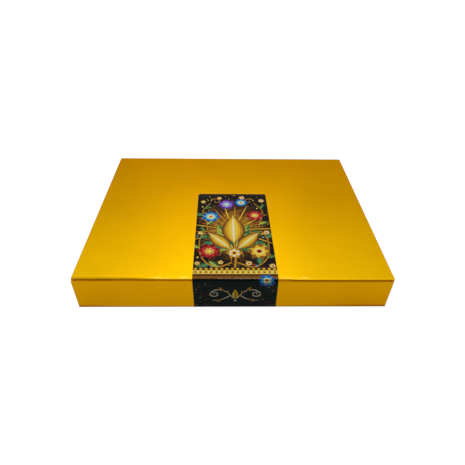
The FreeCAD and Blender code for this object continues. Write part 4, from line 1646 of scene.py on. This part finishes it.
def build_label(front):
    """One printed sticker, cut along its print and bent over the lid's edge and the flap's crease."""
    path, fold_number = label_path(front)
    run = run_along(path) / MM
    top, end = run[fold_number], run[-1]
    low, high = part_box("label_lid_span")
    centre, half = (low.x + high.x) / 2, (high.x - low.x) / 2 / MM
    shapes = [("ground", sheet_outline(half, top, top - end))] + draw_print(half, top, top - end)
    flat, faces, tops = cut_print(shapes, half, run, top)
    names = ["ground"] + list(INKS)
    inks = [names.index(shapes[i][0]) for i in tops]

    def on_path(s):
        s = min(max(s, 0.0), end)
        return np.array([np.interp(s, run, path[:, k]) for k in (0, 1)])

    def spot(p, sunk):
        """The place of a flat point on the bent label, sunk below its face."""
        s = min(max(top - p[1], 0.0), end)
        y, z = on_path(s)
        along = on_path(s + SLOPE_STEP_MM) - on_path(s - SLOPE_STEP_MM)
        scale = sunk / math.hypot(*along)
        lean = LABEL_LEAN * (2 * s / top - 1)
        return front.settle((centre + p[0] * MM + lean, y - along[1] * scale, z + along[0] * scale))

    points = [spot(p, 0.0) for p in flat]
    uvs = [(p[0] * MM, p[1] * MM) for p in flat]
    sides = {(a, b) for face in faces for a, b in zip(face, face[1:] + face[:1])}
    lower = {}
    for a, b in sorted(pair for pair in sides if (pair[1], pair[0]) not in sides):
        for i in (a, b):
            if i not in lower:
                lower[i] = len(points)
                points.append(spot(flat[i], LABEL_SHEET))
                uvs.append(uvs[i])
        faces.append([b, a, lower[a], lower[b]])
        inks.append(0)

    glow_centre = (GLOW_CENTRE_MM[0] * MM, GLOW_CENTRE_MM[1] * MM, 0.0)
    glow_reach = (GLOW_REACH_MM[0] * MM, GLOW_REACH_MM[1] * MM, 1.0)
    ground = glowing_ground(glow_centre, glow_reach)
    materials = [ground] + [printed_ink(name, tones) for name, tones in INKS.items()]
    piece = make_piece("printed_label", points, faces, materials, inks, uvs)
    heights = (front.under, front.flap_top)
    fold(piece, ("lid", "flap"), front.y, heights, "printed_label", "label_lid_span", "label_flap_span")


# Finishes of the CAD nodes that stay as they are


def finish_nodes(board, liner):
    finishes = {
        "greyboard": board,
        "liner_paper": liner,
        "corner_tape": fibre_paper("kraft_tape", TAPE_TONES, TAPE_ROUGH),
        "grid_card": grid_card(),
        "magnet": metal_disc("nickel", NICKEL_TONES, NICKEL_ROUGH),
        "steel_disc": metal_disc("rolled_steel", STEEL_TONES, STEEL_ROUGH),
    }
    for part in frame["record"]["subparts"]:
        finish = finishes.get(part["material_slot"])
        if finish:
            mesh = frame["nodes"][part["node"]].data
            mesh.materials.clear()
            mesh.materials.append(finish)


# Stage


def floor_material():
    """White ground that keeps a soft shadow and looks white to the camera, and in reflections away from the
    box, with a painted shadow that dims it in reflections near the box's front.
    """
    paper = Finish("white_floor")
    glow = paper.spread(paper.away((0, 0, 0), (1, 1, 1)), *FLOOR_RANGE, *FLOOR_GLOW)
    rays = paper.node("LightPath", {}).outputs
    other = paper.math("MAXIMUM", rays["Is Glossy Ray"], rays["Is Transmission Ray"])
    front_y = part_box("flap_wrap")[0].y
    # Painted shadow in reflections near the box's front
    gloss_shadowed = paper.spread(paper.axes()[1], front_y - FLOOR_PAINTED_SHADOW_REACH, front_y, *FLOOR_GLOSS_SHADOWED)
    direct = paper.product(rays["Is Camera Ray"], glow)
    return paper.put({
        "Base Color": FLOOR_TONE,
        "Roughness": 1.0,
        "Specular IOR Level": 0.0,
        "Emission Color": WHITE,
        "Emission Strength": paper.math("MAXIMUM", direct, paper.product(other, gloss_shadowed)),
    })


def build_floor():
    half = FLOOR_SIZE / 2
    corners = [(-half, -half, 0), (half, -half, 0), (half, half, 0), (-half, half, 0)]
    make_piece("floor", corners, [[0, 1, 2, 3]], [floor_material()])


def build_world():
    """An even white surround, with its own strength for each kind of ray."""
    world = bpy.data.worlds.new("studio")
    bpy.context.scene.world = world
    world.use_nodes = True
    tree = world.node_tree
    rays = tree.nodes.new("ShaderNodeLightPath").outputs
    level = WORLD_DIFFUSE
    for ray, strength in WORLD_SEEN.items():
        step = tree.nodes.new("ShaderNodeMapRange")
        fill(tree, step.inputs["Value"], rays["Is " + ray + " Ray"])
        fill(tree, step.inputs["To Min"], level)
        fill(tree, step.inputs["To Max"], strength)
        level = step.outputs[0]
    background = tree.nodes["Background"]
    fill(tree, background.inputs["Color"], WHITE)
    fill(tree, background.inputs["Strength"], level)


def build_lamp(name, place, width, depth, watts):
    lamp = bpy.data.lights.new(name, "AREA")
    lamp.shape = "RECTANGLE"
    lamp.size = width
    lamp.size_y = depth
    lamp.energy = watts
    add_object(name, lamp, place)


def build_camera():
    camera = bpy.data.cameras.new("camera")
    camera.lens = CAMERA_LENS_MM
    camera.sensor_width = CAMERA_SENSOR_MM
    camera.clip_start = CAMERA_NEAR
    holder = add_object("camera", camera, CAMERA_PLACE)
    holder.rotation_euler = [math.radians(a) for a in CAMERA_TURN_DEG]
    bpy.context.scene.camera = holder


def main():
    bpy.context.scene.view_settings.view_transform = "Standard"
    build_camera()
    build_lamp("wide_softbox", **WIDE_BOX)
    build_lamp("narrow_softbox", **NARROW_BOX)
    build_world()
    build_floor()

    # The lid's foil: a lit copy of the case's, with its painted light and shade
    lid_foil = gold_foil("lid_foil", "Object", LID_LIT_TONES, lid_shade)
    foil = gold_foil("gold_foil", "Object", CASE_TONES, foot_shade)
    # The front crease's foil: a lit copy, with painted shade in parts of the crease
    front_foil = gold_foil("creased_foil", "UV", FRONT_CREASE_LIT_TONES, crease_shade)
    rear_foil = gold_foil("folded_foil", "UV", REAR_CREASE_TONES)
    board = fibre_paper("greyboard", BOARD_TONES, BOARD_ROUGH)
    liner = fibre_paper("liner_paper", LINER_TONES, LINER_ROUGH)
    front = Front()
    build_case(front, lid_foil, foil, front_foil, rear_foil, board, liner)
    build_label(front)
    build_tray(foil)
    build_pad(cushion_paper())
    cells = Cells()
    build_cups(cells, glassine())
    build_chocolates(cells)
    finish_nodes(board, liner)


main()
